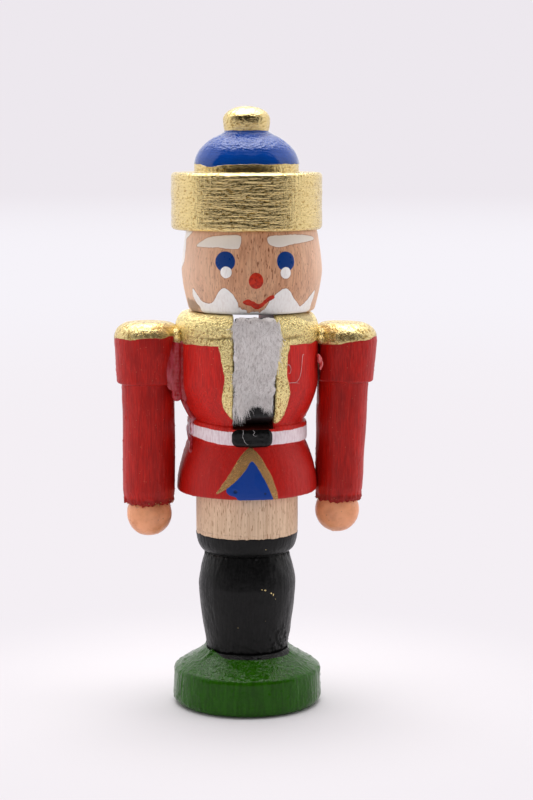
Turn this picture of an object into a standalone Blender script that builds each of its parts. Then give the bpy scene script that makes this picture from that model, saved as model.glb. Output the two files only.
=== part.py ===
"""A painted wooden nutcracker figure, about 99 mm tall.

The figure stands on a round base and faces -Y, so its right arm is at -X.
It is built like the real thing: turned beech pieces joined by dowels, and a lever that turns on a
pin in the coat's slot. The lever's upright front bar is the jaw and carries the beard; its handle
runs down the back. Sizes and heights are in millimetres, and MM turns them into metres.
"""
import math

import bmesh
import bpy
from mathutils import Vector

MM = 0.001
GAP = 0.3                     # clearance between two pieces that touch
SMALL_EDGE = 0.2              # how far a small broken edge is cut back
EDGE = 0.3                    # the same for a larger one
OVERRUN = 2.0                 # how far a cutter reaches past what it cuts
MERGE = 0.00001               # merge distance, in metres

# How finely round shapes are cut into facets.
TURN_STEPS = 36
ARM_STEPS = 28
PEG_SIDES = 16
CORNER_STEPS = 3
SHARP_DEG = 50                # edges that turn more than this are sharp

# Base.
BASE_RADIUS = 12.5
BASE_RIM_RADIUS = 12.3
BASE_RIM_HEIGHT = 5.9
BASE_TOP_RADIUS = 7.1
BASE_TOP = 9.2
BASE_FOOT_ROUNDING = 1.6
BASE_RIM_ROUNDING = 0.6

# Legs: boots below the groove, trousers above it.
BOOT_SOLE = BASE_TOP + GAP
BOOT_SOLE_RADIUS = 6.6
BOOT_RADIUS = 8.05
BOOT_WIDEST = 20.2
GROOVE_HEIGHT = 25.8
GROOVE_RADIUS = 6.75
TROUSER_RADIUS = 8.45
TROUSER_HEM = 29.4
LEGS_TOP = 35.8

# Coat: skirt, belt ring, chest and collar.
SKIRT_HEM = LEGS_TOP + GAP
SKIRT_RADIUS = 11.6
BELT_BOTTOM = 44.6
BELT_TOP = 46.9
BELT_RADIUS = 9.8
BELT_EDGE = 0.25              # how far the belt ring stands proud
WAIST_HEIGHT = 48.2
WAIST_RADIUS = 9.45
CHEST_BOTTOM = 54.3
CHEST_RADIUS = 11.75
SHOULDER_HEIGHT = 62.9
COLLAR_TOP = 65.7
COLLAR_RADIUS = 9.9

# Slot from the collar down to just above the belt, open at the front, the back and the top.
SLOT_FLOOR = 47.3
SLOT_HALF_WIDTH = 3.25

# Jaw lever, hinged on a pin across the slot.
HINGE_Y = -5.5
HINGE_Z = 50.6
JAW_OPEN_DEG = 18.0
LEVER_HALF_WIDTH = SLOT_HALF_WIDTH - GAP
BAR_FRONT = -11.6
BAR_BACK = -8.8
BAR_TOP = COLLAR_TOP - 0.35
BAR_TOP_ROUNDING = 0.5
BAR_TOE_ROUNDING = 0.8
BAR_ROOT_ROUNDING = 2.0
ARM_UNDERSIDE = SLOT_FLOOR + GAP
ARM_TOP = 55.2
HANDLE_INNER_TOP = 10.1       # distances of the handle's inner face from the figure's axis
HANDLE_INNER_HEM = 12.1
HANDLE_INNER_TIP = 13.7
HANDLE_THICKNESS = 2.9
HANDLE_SHOULDER = 53.2
HANDLE_SHOULDER_REACH = 1.2   # how far the shoulder stands out past the handle's upper end
HANDLE_HEM_REACH = 0.3
HANDLE_HEM_HEIGHT = 38.0
HANDLE_TIP = 23.0
HANDLE_TOP_ROUNDING = 0.8
HANDLE_SHOULDER_ROUNDING = 3.5
HANDLE_INNER_ROUNDING = 6.0
HANDLE_OUTER_ROUNDING = 8.0
HANDLE_TIP_ROUNDING = 1.2
PIN_RADIUS = 0.8
PIN_END_RIGHT = -6.4
PIN_END_LEFT = 8.5
PIN_BORE_END_RIGHT = PIN_END_RIGHT - GAP
PIN_BORE_END_LEFT = 14.0      # past the coat's side, so the bore opens there

# Beard: a tuft of fur on the front of the bar.
BEARD_BACK = BAR_FRONT - GAP
BEARD_FRONT = -13.5
BEARD_HALF_WIDTH = 3.6
BEARD_TOP = BAR_TOP - 0.05
BEARD_BOTTOM = 51.0
BEARD_ROUNDING = 0.6

# Head, which sits a little to the figure's left of the other turnings.
HEAD_X = 0.85
HEAD_BOTTOM = COLLAR_TOP + GAP
HEAD_BOTTOM_RADIUS = 10.3
HEAD_WIDEST = 72.4
HEAD_RADIUS = 11.5
HEAD_TOP = 78.9
HEAD_TOP_RADIUS = 10.65

# Hat: band, dome and knob in one turning.
HAT_BOTTOM = HEAD_TOP + GAP
HAT_BAND_RADIUS = 12.35
HAT_BAND_TOP = 88.4
HAT_BAND_ROUNDING = 0.4
DOME_CENTRE = 89.4
DOME_RADIUS = 8.55
DOME_RISE = 5.8
KNOB_CENTRE = 96.9
KNOB_RADIUS = 3.85
KNOB_RISE = 2.2
KNOB_NECK_RADIUS = 3.55

# Arms. The left one leans in towards the skirt.
ARM_X = {"right": -16.3, "left": 16.0}
ARM_LEAN_DEG = {"right": 0.0, "left": 1.8}
CUFF_RADIUS = {"right": 3.95, "left": 3.65}
CAP_TOP = 64.2
CAP_RADIUS = 5.5
CAP_ROUNDING = 2.5
CAP_BOTTOM = 53.8
CAP_FLAT_X = CHEST_RADIUS + GAP
CAP_FLAT_CUT = 4.0            # depth of the cutter that makes the flat
SLEEVE_RADIUS = 4.3
CUFF_BEND = 36.2
CUFF_BEND_STEP = 0.1          # how much wider the left sleeve is there than at its end
SLEEVE_END = 34.2

# Hands: balls with a stem that goes up into the sleeve.
HAND_RADIUS = 3.7
HAND_CENTRE = 32.25
HAND_TOP = SLEEVE_END - GAP
HAND_TOP_RADIUS = 3.4
HAND_TOP_ANGLE = 15
STEM_RADIUS = 1.5
STEM_TOP = 39.0

# Dowels: radius, and the heights or sides they reach.
BIG_PEG_RADIUS = 2.0
HEAD_PEG_RADIUS = 1.2
HAT_PEG_RADIUS = 1.5
SHOULDER_PEG_RADIUS = 1.4
BASE_PEG_ENDS = (3.3, 15.0)
HIP_PEG_ENDS = (30.0, 41.0)
HAT_PEG_ENDS = (74.0, 84.0)
HEAD_PEG_ENDS = (61.5, 70.5)
HEAD_PEG_X = 6.6
SHOULDER_PEG_HEIGHT = 57.5
SHOULDER_PEG_ENDS = (8.3, 15.4)

# Hot-melt beads in the front corners between the arms and the coat: centre and half sizes.
GLUE_BEADS = {
    "right": ((-12.3, -5.3, 55.4), (1.15, 0.85, 5.0)),
    "left": ((12.2, -5.3, 58.0), (0.9, 0.8, 1.5)),
}

# Colour, roughness and metallic value of each finish.
FINISHES = {
    "gold_paint": ((0.62, 0.43, 0.13), 0.35, 0.9),
    "red_paint": ((0.50, 0.02, 0.02), 0.45, 0.0),
    "green_paint": ((0.04, 0.14, 0.02), 0.3, 0.0),
    "black_paint": ((0.01, 0.01, 0.012), 0.4, 0.0),
    "peach_paint": ((0.78, 0.36, 0.18), 0.4, 0.0),
    "beech": ((0.62, 0.42, 0.29), 0.6, 0.0),
    "steel": ((0.55, 0.55, 0.56), 0.3, 1.0),
    "fur": ((0.60, 0.58, 0.60), 0.9, 0.0),
    "hot_glue": ((0.75, 0.55, 0.60), 0.25, 0.0),
}


# ---------------------------------------------------------------- scene and finishes

def clear_scene():
    for thing in list(bpy.data.objects):
        bpy.data.objects.remove(thing, do_unlink=True)


def new_collection(name):
    collection = bpy.data.collections.new(name)
    bpy.context.scene.collection.children.link(collection)
    return collection


def new_finish(name):
    colour, roughness, metallic = FINISHES[name]
    material = bpy.data.materials.new(name)
    material.use_nodes = True
    shader = material.node_tree.nodes["Principled BSDF"]
    shader.inputs["Base Color"].default_value = (*colour, 1.0)
    shader.inputs["Roughness"].default_value = roughness
    shader.inputs["Metallic"].default_value = metallic
    material.diffuse_color = (*colour, 1.0)
    return material


clear_scene()
PARTS = new_collection("nutcracker_figure")
CUTTERS = new_collection("cutters")
MATERIALS = {name: new_finish(name) for name in FINISHES}


def metres(*values):
    return Vector([value * MM for value in values])


def add_piece(name, mesh, finish, place):
    """One named part, with its origin at `place`, in millimetres."""
    piece = bpy.data.objects.new(name, mesh)
    PARTS.objects.link(piece)
    piece.location = metres(*place)
    mesh.materials.append(MATERIALS[finish])
    return piece


# ---------------------------------------------------------------- outlines

def round_corner(before, corner, after, radius):
    """Points of the arc that rounds one corner of an outline."""
    here = Vector(corner)
    back = (Vector(before) - here).normalized()
    ahead = (Vector(after) - here).normalized()
    half_angle = back.angle(ahead) / 2
    setback = radius / math.tan(half_angle)
    centre = here + (back + ahead).normalized() * (radius / math.sin(half_angle))
    start = here + back * setback - centre
    end = here + ahead * setback - centre
    points = []
    for step in range(CORNER_STEPS + 1):
        spoke = start.lerp(end, step / CORNER_STEPS).normalized() * radius
        points.append(tuple(centre + spoke))
    return points


def outline(corners, closed=False):
    """An outline from corners (across, up, rounding radius). A radius of 0 keeps a corner sharp."""
    points = []
    count = len(corners)
    for index, (across, up, radius) in enumerate(corners):
        at_end = index in (0, count - 1) and not closed
        if radius == 0 or at_end:
            points.append((across, up))
            continue
        before = corners[index - 1][:2]
        after = corners[(index + 1) % count][:2]
        points += round_corner(before, (across, up), after, radius)
    return points


def flank(start, widest, steps, power=1.4):
    """A side that swells from `start` to the widest place; both are (radius, height)."""
    start_radius, start_height = start
    wide_radius, wide_height = widest
    points = []
    for step in range(steps):
        part = 1 - step / steps
        radius = wide_radius - (wide_radius - start_radius) * part ** power
        points.append((radius, wide_height + (start_height - wide_height) * part))
    return points


def barrel(top, widest, bottom, steps=4):
    """A barrel's side from its top edge to its bottom edge, each (radius, height)."""
    upper = flank(top, widest, steps)
    lower = flank(bottom, widest, steps)
    return upper + [widest] + lower[::-1]


def ellipse_arc(centre, radii, start_deg, end_deg, steps):
    """Points on an ellipse; angles are measured up from the horizontal."""
    points = []
    for step in range(steps + 1):
        angle = math.radians(start_deg + (end_deg - start_deg) * step / steps)
        across = centre[0] + radii[0] * math.cos(angle)
        points.append((across, centre[1] + radii[1] * math.sin(angle)))
    return points


# ---------------------------------------------------------------- ways of making a piece

def turned(name, profile, finish, place, steps=TURN_STEPS):
    """A turned piece. Its profile is (radius, height), down the outer side, heights as assembled."""
    mesh = bpy.data.meshes.new(name)
    points = [metres(radius, 0, height - place[2]) for radius, height in profile]
    mesh.from_pydata(points, [(i, i + 1) for i in range(len(points) - 1)], [])
    piece = add_piece(name, mesh, finish, place)
    screw = piece.modifiers.new("lathe", "SCREW")
    screw.steps = steps
    screw.render_steps = steps
    screw.use_smooth_shade = True
    screw.use_merge_vertices = True
    screw.merge_threshold = MERGE
    return piece


def rod_mesh(name, radius, length):
    """A round rod along Z with its lower end at the origin."""
    mesh = bpy.data.meshes.new(name)
    rod = bmesh.new()
    bmesh.ops.create_cone(
        rod, cap_ends=True, segments=PEG_SIDES,
        radius1=radius * MM, radius2=radius * MM, depth=length * MM)
    bmesh.ops.translate(rod, verts=rod.verts, vec=metres(0, 0, length / 2))
    rod.to_mesh(mesh)
    rod.free()
    mesh.shade_smooth()
    mesh.set_sharp_from_angle(angle=math.radians(SHARP_DEG))
    return mesh


def peg(name, radius, place, length, finish="beech", along_x=False):
    """A dowel from `place`, going up, or towards +X."""
    piece = add_piece(name, rod_mesh(name, radius, length), finish, place)
    if along_x:
        piece.rotation_euler.y = math.radians(90)
    return piece


def add_cutter(name, mesh, place):
    cutter = bpy.data.objects.new(name, mesh)
    CUTTERS.objects.link(cutter)
    cutter.location = metres(*place)
    cutter.display_type = "WIRE"
    cutter.hide_render = True
    return cutter


def box_cutter(name, low, high):
    """A box between two corners, in millimetres."""
    mesh = bpy.data.meshes.new(name)
    box = bmesh.new()
    bmesh.ops.create_cube(box, size=1.0)
    size = [(high[i] - low[i]) * MM for i in range(3)]
    bmesh.ops.scale(box, verts=box.verts, vec=size)
    box.to_mesh(mesh)
    box.free()
    return add_cutter(name, mesh, [(low[i] + high[i]) / 2 for i in range(3)])


def bore_cutter(name, radius, place, length, along_x=False):
    """A round bore from `place`, going up, or towards +X."""
    cutter = add_cutter(name, rod_mesh(name, radius, length), place)
    if along_x:
        cutter.rotation_euler.y = math.radians(90)
    return cutter


def cut(piece, cutter):
    boolean = piece.modifiers.new(cutter.name, "BOOLEAN")
    boolean.operation = "DIFFERENCE"
    boolean.solver = "EXACT"
    boolean.object = cutter


def shoulder_bore(side):
    """The bore for a shoulder dowel, through the coat's flank and into the arm."""
    near, far = SHOULDER_PEG_ENDS
    start = near - GAP if side == "left" else -far - GAP
    place = (start, 0, SHOULDER_PEG_HEIGHT)
    length = far - near + 2 * GAP
    return bore_cutter(side + "_shoulder_bore", SHOULDER_PEG_RADIUS + GAP, place, length, along_x=True)


# ---------------------------------------------------------------- base and legs

def make_base():
    bore = BIG_PEG_RADIUS + GAP
    profile = outline([
        (0, BASE_PEG_ENDS[0] - GAP, 0),
        (bore, BASE_PEG_ENDS[0] - GAP, 0),
        (bore, BASE_TOP, 0),
        (BASE_TOP_RADIUS, BASE_TOP, EDGE),
        (BASE_RIM_RADIUS, BASE_RIM_HEIGHT, BASE_RIM_ROUNDING),
        (BASE_RADIUS, 0, BASE_FOOT_ROUNDING),
        (0, 0, 0),
    ])
    turned("base_disc", profile, "green_paint", (0, 0, 0))


def make_legs():
    bore = BIG_PEG_RADIUS + GAP
    hem_rise = TROUSER_HEM - GROOVE_HEIGHT
    hem_reach = TROUSER_RADIUS - GROOVE_RADIUS
    hem = ellipse_arc((GROOVE_RADIUS, TROUSER_HEM), (hem_reach, hem_rise), 0, -90, 4)
    boots = barrel(
        (GROOVE_RADIUS, GROOVE_HEIGHT - SMALL_EDGE),
        (BOOT_RADIUS, BOOT_WIDEST),
        (BOOT_SOLE_RADIUS, BOOT_SOLE))
    profile = [
        (0, HIP_PEG_ENDS[0] - GAP),
        (bore, HIP_PEG_ENDS[0] - GAP),
        (bore, LEGS_TOP),
        (TROUSER_RADIUS, LEGS_TOP),
        *hem,
        *boots,
        (bore, BOOT_SOLE),
        (bore, BASE_PEG_ENDS[1] + GAP),
        (0, BASE_PEG_ENDS[1] + GAP),
    ]
    turned("legs", profile, "black_paint", (0, 0, BOOT_SOLE))


def make_leg_pegs():
    for name, (low, high) in (("base_peg", BASE_PEG_ENDS), ("hip_peg", HIP_PEG_ENDS)):
        peg(name, BIG_PEG_RADIUS, (0, 0, low), high - low)


# ---------------------------------------------------------------- coat

def coat_profile():
    """Collar, chest, waist, belt ring and flared skirt, then the underside and the hip bore."""
    bore = BIG_PEG_RADIUS + GAP
    shoulder_reach = CHEST_RADIUS - COLLAR_RADIUS
    shoulder_rise = COLLAR_TOP - SHOULDER_HEIGHT
    collar = ellipse_arc((COLLAR_RADIUS, SHOULDER_HEIGHT), (shoulder_reach, shoulder_rise), 90, 0, 5)
    waist = flank((WAIST_RADIUS, WAIST_HEIGHT), (CHEST_RADIUS, CHEST_BOTTOM), 5, power=1.5)
    skirt = flank((BELT_RADIUS - BELT_EDGE, BELT_BOTTOM), (SKIRT_RADIUS, SKIRT_HEM), 5, power=2.0)
    return [
        (0, COLLAR_TOP),
        *collar,
        (CHEST_RADIUS, CHEST_BOTTOM),
        *waist[::-1],
        (BELT_RADIUS - BELT_EDGE, BELT_TOP + BELT_EDGE),
        (BELT_RADIUS, BELT_TOP),
        (BELT_RADIUS, BELT_BOTTOM + BELT_EDGE),
        *skirt,
        (SKIRT_RADIUS, SKIRT_HEM + EDGE),
        (SKIRT_RADIUS - EDGE, SKIRT_HEM),
        (bore, SKIRT_HEM),
        (bore, HIP_PEG_ENDS[1] + GAP),
        (0, HIP_PEG_ENDS[1] + GAP),
    ]


def make_coat():
    coat = turned("coat_body", coat_profile(), "red_paint", (0, 0, SKIRT_HEM))
    reach = CHEST_RADIUS + OVERRUN
    low = (-SLOT_HALF_WIDTH, -reach, SLOT_FLOOR)
    high = (SLOT_HALF_WIDTH, reach, COLLAR_TOP + OVERRUN)
    cut(coat, box_cutter("slot", low, high))
    pin_bore = bore_cutter(
        "pin_bore", PIN_RADIUS + GAP, (PIN_BORE_END_RIGHT, HINGE_Y, HINGE_Z),
        PIN_BORE_END_LEFT - PIN_BORE_END_RIGHT, along_x=True)
    cut(coat, pin_bore)
    return coat


# ---------------------------------------------------------------- jaw

def lever_outline():
    """The lever's side view as (distance behind, height above) the hinge."""
    underside = HINGE_Z - ARM_UNDERSIDE
    tilt = math.radians(JAW_OPEN_DEG)
    bar_front = BAR_FRONT - HINGE_Y
    # The bar's underside slopes so that it lies flat on the slot's floor when the jaw is open.
    slope_start = -underside * math.sin(tilt)
    slope_start_height = -underside * math.cos(tilt)
    bar_bottom = slope_start_height + (slope_start - bar_front) * math.tan(tilt)
    bar_back = BAR_BACK - HINGE_Y
    bar_top = BAR_TOP - HINGE_Z
    hem_height = HANDLE_HEM_HEIGHT - HINGE_Z
    tip_height = HANDLE_TIP - HINGE_Z
    inner_hem = HANDLE_INNER_HEM - HINGE_Y
    inner_tip = HANDLE_INNER_TIP - HINGE_Y
    outer_top = HANDLE_INNER_TOP - HINGE_Y + HANDLE_THICKNESS + HANDLE_SHOULDER_REACH
    return outline([
        (bar_front, bar_top, BAR_TOP_ROUNDING),
        (bar_front, bar_bottom, BAR_TOE_ROUNDING),
        (slope_start, slope_start_height, 0),
        (0, -underside, 0),
        (HANDLE_INNER_TOP - HINGE_Y, -underside, HANDLE_TOP_ROUNDING),
        (inner_hem, hem_height, HANDLE_INNER_ROUNDING),
        (inner_tip, tip_height, HANDLE_TIP_ROUNDING),
        (inner_tip + HANDLE_THICKNESS, tip_height, HANDLE_TIP_ROUNDING),
        (inner_hem + HANDLE_THICKNESS + HANDLE_HEM_REACH, hem_height, HANDLE_OUTER_ROUNDING),
        (outer_top, HANDLE_SHOULDER - HINGE_Z, HANDLE_SHOULDER_ROUNDING),
        (bar_back, ARM_TOP - HINGE_Z, BAR_ROOT_ROUNDING),
        (bar_back, bar_top, BAR_TOP_ROUNDING),
    ], closed=True)


def plate_mesh(name, points, half_thickness):
    """A flat outline in the YZ plane, extruded both ways along X."""
    flat = bpy.data.curves.new(name + "_outline", "CURVE")
    flat.dimensions = "2D"
    flat.fill_mode = "BOTH"
    flat.extrude = half_thickness * MM
    spline = flat.splines.new("POLY")
    spline.points.add(len(points) - 1)
    for point, (across, up) in zip(spline.points, points):
        point.co = (across * MM, up * MM, 0, 1)
    spline.use_cyclic_u = True
    holder = bpy.data.objects.new(name + "_outline", flat)
    CUTTERS.objects.link(holder)
    bpy.context.view_layer.update()
    depsgraph = bpy.context.evaluated_depsgraph_get()
    mesh = bpy.data.meshes.new_from_object(holder.evaluated_get(depsgraph))
    mesh.name = name
    bpy.data.objects.remove(holder, do_unlink=True)
    plate = bmesh.new()
    plate.from_mesh(mesh)
    bmesh.ops.remove_doubles(plate, verts=plate.verts, dist=MERGE)
    bmesh.ops.recalc_face_normals(plate, faces=plate.faces)
    plate.to_mesh(mesh)
    plate.free()
    return mesh


def make_lever():
    mesh = plate_mesh("jaw_lever", lever_outline(), LEVER_HALF_WIDTH)
    lever = add_piece("jaw_lever", mesh, "black_paint", (0, HINGE_Y, HINGE_Z))
    lever.rotation_euler = (math.radians(90), 0, math.radians(90))
    edges = lever.modifiers.new("soft_edges", "BEVEL")
    edges.width = EDGE * MM
    edges.segments = 1
    edges.limit_method = "ANGLE"
    edges.angle_limit = math.radians(SHARP_DEG)
    reach = LEVER_HALF_WIDTH + OVERRUN
    place = (-reach, HINGE_Y, HINGE_Z)
    cut(lever, bore_cutter("lever_bore", PIN_RADIUS + GAP, place, 2 * reach, along_x=True))


def make_pin():
    place = (PIN_END_RIGHT, HINGE_Y, HINGE_Z)
    peg("lever_pin", PIN_RADIUS, place, PIN_END_LEFT - PIN_END_RIGHT, "steel", along_x=True)


def make_beard():
    mesh = bpy.data.meshes.new("beard")
    tuft = bmesh.new()
    bmesh.ops.create_cube(tuft, size=1.0)
    depth = BEARD_BACK - BEARD_FRONT
    height = BEARD_TOP - BEARD_BOTTOM
    bmesh.ops.scale(tuft, verts=tuft.verts, vec=metres(2 * BEARD_HALF_WIDTH, depth, height))
    tuft.to_mesh(mesh)
    tuft.free()
    centre = (0, (BEARD_BACK + BEARD_FRONT) / 2, (BEARD_TOP + BEARD_BOTTOM) / 2)
    beard = add_piece("beard", mesh, "fur", centre)
    soften = beard.modifiers.new("soft_edges", "BEVEL")
    soften.width = BEARD_ROUNDING * MM
    soften.segments = 2


# ---------------------------------------------------------------- head and hat

def make_head():
    side = barrel(
        (HEAD_TOP_RADIUS, HEAD_TOP - SMALL_EDGE),
        (HEAD_RADIUS, HEAD_WIDEST),
        (HEAD_BOTTOM_RADIUS, HEAD_BOTTOM + EDGE),
        steps=5)
    profile = [
        (0, HEAD_TOP),
        (HEAD_TOP_RADIUS - SMALL_EDGE, HEAD_TOP),
        *side,
        (HEAD_BOTTOM_RADIUS - EDGE, HEAD_BOTTOM),
        (0, HEAD_BOTTOM),
    ]
    return turned("head", profile, "beech", (HEAD_X, 0, HEAD_BOTTOM))


def peg_head(coat, head):
    """The two dowels beside the slot, each in a bore of the coat and a bore of the head."""
    low, high = HEAD_PEG_ENDS
    for side, sign in (("right", -1), ("left", 1)):
        x = sign * HEAD_PEG_X
        peg("head_peg_" + side, HEAD_PEG_RADIUS, (x, 0, low), high - low)
        place = (x, 0, low - GAP)
        length = high - low + 2 * GAP
        bore = bore_cutter("head_bore_" + side, HEAD_PEG_RADIUS + GAP, place, length)
        cut(coat, bore)
        cut(head, bore)


def peg_hat(head):
    """The dowel on the hat's axis, which is a little off the head's."""
    low, high = HAT_PEG_ENDS
    peg("hat_peg", HAT_PEG_RADIUS, (0, 0, low), high - low)
    radius = HAT_PEG_RADIUS + GAP
    cut(head, bore_cutter("hat_bore", radius, (0, 0, low - GAP), high - low))


def make_hat():
    bore = HAT_PEG_RADIUS + GAP
    knob = ellipse_arc((0, KNOB_CENTRE), (KNOB_RADIUS, KNOB_RISE), 90, 0, 5)
    neck_angle = math.degrees(math.acos(KNOB_NECK_RADIUS / DOME_RADIUS))
    dome = ellipse_arc((0, DOME_CENTRE), (DOME_RADIUS, DOME_RISE), neck_angle, 0, 6)
    band = outline([
        (DOME_RADIUS, HAT_BAND_TOP, 0),
        (HAT_BAND_RADIUS, HAT_BAND_TOP, HAT_BAND_ROUNDING),
        (HAT_BAND_RADIUS, HAT_BOTTOM, HAT_BAND_ROUNDING),
        (bore, HAT_BOTTOM, 0),
    ])
    profile = [
        *knob,
        *dome,
        *band,
        (bore, HAT_PEG_ENDS[1] + GAP),
        (0, HAT_PEG_ENDS[1] + GAP),
    ]
    turned("hat", profile, "gold_paint", (0, 0, HAT_BOTTOM))


# ---------------------------------------------------------------- arms

def arm_profile(side):
    """Cap, sleeve and cuff, then the blind bore for the hand's stem."""
    bore = STEM_RADIUS + GAP
    cuff = CUFF_RADIUS[side]
    cap_centre = (CAP_RADIUS - CAP_ROUNDING, CAP_TOP - CAP_ROUNDING)
    cap = ellipse_arc(cap_centre, (CAP_ROUNDING, CAP_ROUNDING), 90, 0, 4)
    sleeve_taper = SLEEVE_RADIUS if side == "right" else cuff + CUFF_BEND_STEP
    return [
        (0, CAP_TOP),
        *cap,
        (CAP_RADIUS, CAP_BOTTOM + SMALL_EDGE),
        (CAP_RADIUS - SMALL_EDGE, CAP_BOTTOM),
        (SLEEVE_RADIUS, CAP_BOTTOM),
        (sleeve_taper, CUFF_BEND),
        (cuff, SLEEVE_END),
        (bore, SLEEVE_END),
        (bore, STEM_TOP + GAP),
        (0, STEM_TOP + GAP),
    ]


def hand_profile():
    ball = ellipse_arc((0, HAND_CENTRE), (HAND_RADIUS, HAND_RADIUS), HAND_TOP_ANGLE, -90, 7)
    return [
        (0, STEM_TOP),
        (STEM_RADIUS, STEM_TOP),
        (STEM_RADIUS, HAND_TOP),
        (HAND_TOP_RADIUS, HAND_TOP),
        *ball,
    ]


def make_arm(side, coat):
    """An arm with its hand and dowel. Arm and hand turn about the dowel's axis to lean in."""
    place = (ARM_X[side], 0, SHOULDER_PEG_HEIGHT)
    arm = turned(side + "_arm", arm_profile(side), "red_paint", place, ARM_STEPS)
    hand = turned(side + "_hand", hand_profile(), "peach_paint", place, ARM_STEPS)
    arm.rotation_euler.y = math.radians(ARM_LEAN_DEG[side])
    hand.parent = arm
    hand.location = (0, 0, 0)
    sign = math.copysign(1, ARM_X[side])
    inner = sign * (CAP_FLAT_X - CAP_FLAT_CUT)
    outer = sign * CAP_FLAT_X
    low = (min(inner, outer), -CAP_RADIUS - OVERRUN, CAP_BOTTOM - OVERRUN)
    high = (max(inner, outer), CAP_RADIUS + OVERRUN, CAP_TOP + OVERRUN)
    cut(arm, box_cutter(side + "_cap_flat", low, high))
    bore = shoulder_bore(side)
    cut(arm, bore)
    cut(coat, bore)
    near, far = SHOULDER_PEG_ENDS
    start = near if side == "left" else -far
    place = (start, 0, SHOULDER_PEG_HEIGHT)
    peg(side + "_shoulder_peg", SHOULDER_PEG_RADIUS, place, far - near, along_x=True)


def make_glue_bead(side):
    centre, half_sizes = GLUE_BEADS[side]
    name = side + "_shoulder_glue"
    mesh = bpy.data.meshes.new(name)
    bead = bmesh.new()
    bmesh.ops.create_uvsphere(bead, u_segments=12, v_segments=8, radius=1.0)
    bmesh.ops.scale(bead, verts=bead.verts, vec=metres(*half_sizes))
    bead.to_mesh(mesh)
    bead.free()
    mesh.shade_smooth()
    add_piece(name, mesh, "hot_glue", centre)


# ---------------------------------------------------------------- assembly

def build():
    make_base()
    make_legs()
    make_leg_pegs()
    coat = make_coat()
    make_lever()
    make_pin()
    make_beard()
    head = make_head()
    peg_head(coat, head)
    peg_hat(head)
    make_hat()
    for side in ("right", "left"):
        make_arm(side, coat)
        make_glue_bead(side)


build()
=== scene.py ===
"""The looks of the painted wooden nutcracker: fine meshes, paint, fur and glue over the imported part.

Lengths are in millimetres and angles in degrees, and MM turns millimetres into metres. Heights are
above the figure's underside. Angles go round a turned piece from its front (-Y) towards +X.
"""

import math

import bmesh
import bpy
import numpy as np
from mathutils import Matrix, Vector


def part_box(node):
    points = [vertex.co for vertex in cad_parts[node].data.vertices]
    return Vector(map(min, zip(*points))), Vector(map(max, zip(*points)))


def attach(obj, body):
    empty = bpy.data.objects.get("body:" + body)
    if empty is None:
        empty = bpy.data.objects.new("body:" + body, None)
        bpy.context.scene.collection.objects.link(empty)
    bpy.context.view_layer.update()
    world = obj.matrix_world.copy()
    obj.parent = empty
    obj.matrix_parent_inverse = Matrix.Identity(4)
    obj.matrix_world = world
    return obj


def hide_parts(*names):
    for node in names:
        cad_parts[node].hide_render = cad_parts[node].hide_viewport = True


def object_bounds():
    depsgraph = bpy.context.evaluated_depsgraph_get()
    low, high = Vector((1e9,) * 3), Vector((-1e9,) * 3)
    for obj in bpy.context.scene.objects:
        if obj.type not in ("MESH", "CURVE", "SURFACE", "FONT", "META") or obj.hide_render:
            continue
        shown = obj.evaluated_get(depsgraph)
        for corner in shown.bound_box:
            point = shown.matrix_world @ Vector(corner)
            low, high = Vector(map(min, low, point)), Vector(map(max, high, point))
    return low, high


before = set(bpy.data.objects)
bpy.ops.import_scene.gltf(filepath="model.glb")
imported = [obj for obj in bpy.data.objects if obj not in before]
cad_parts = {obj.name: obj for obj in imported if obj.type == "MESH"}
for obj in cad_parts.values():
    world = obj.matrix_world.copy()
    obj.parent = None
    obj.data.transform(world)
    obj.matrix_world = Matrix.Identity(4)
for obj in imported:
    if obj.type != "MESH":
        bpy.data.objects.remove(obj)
CAD_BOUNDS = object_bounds()
MM = 0.001
GROUND = CAD_BOUNDS[0].z / MM


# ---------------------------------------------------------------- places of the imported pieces

def box_mm(node):
    low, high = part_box(node)
    return np.array(low) / MM, np.array(high) / MM


def axis_of(node):
    low, high = box_mm(node)
    return np.array([(low[0] + high[0]) / 2, (low[1] + high[1]) / 2, 0.0])


# ---------------------------------------------------------------- repeatable noise

def hashed(cells, seed):
    """A repeatable number from -1 to 1 for every whole-number cell."""
    mixed = cells[:, 0] * 73856093 ^ cells[:, 1] * 19349663 ^ cells[:, 2] * 83492791
    mixed = mixed ^ (seed + 17) * 2654435761
    mixed = (mixed ^ (mixed >> 13)) * 1274126177
    mixed = (mixed ^ (mixed >> 15)) * 668265263
    mixed = mixed ^ (mixed >> 16)
    return (mixed & 0xFFFFFF) / 0x7FFFFF - 1.0


def noise(points, size, seed):
    """Smooth noise from -1 to 1. `size` is how far apart its bumps are: one number or three."""
    scaled = points / np.broadcast_to(np.asarray(size, float), (3,))
    cell = np.floor(scaled).astype(np.int64)
    part = scaled - cell
    part = part * part * (3 - 2 * part)
    total = np.zeros(len(points))
    for corner in range(8):
        step = np.array([corner & 1, corner >> 1 & 1, corner >> 2])
        weight = np.prod(np.where(step == 1, part, 1 - part), axis=1)
        total += weight * hashed(cell + step, seed)
    return total


def rough(points, size, seed, layers=3):
    """Noise with finer noise on it."""
    total = np.zeros(len(points))
    for layer in range(layers):
        total += noise(points, np.asarray(size, float) / 2 ** layer, seed + layer * 7) / 2 ** layer
    return total


def smooth_step(value, low, high):
    part = np.clip((value - low) / (high - low), 0, 1)
    return part * part * (3 - 2 * part)


# ---------------------------------------------------------------- outlines

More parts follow.
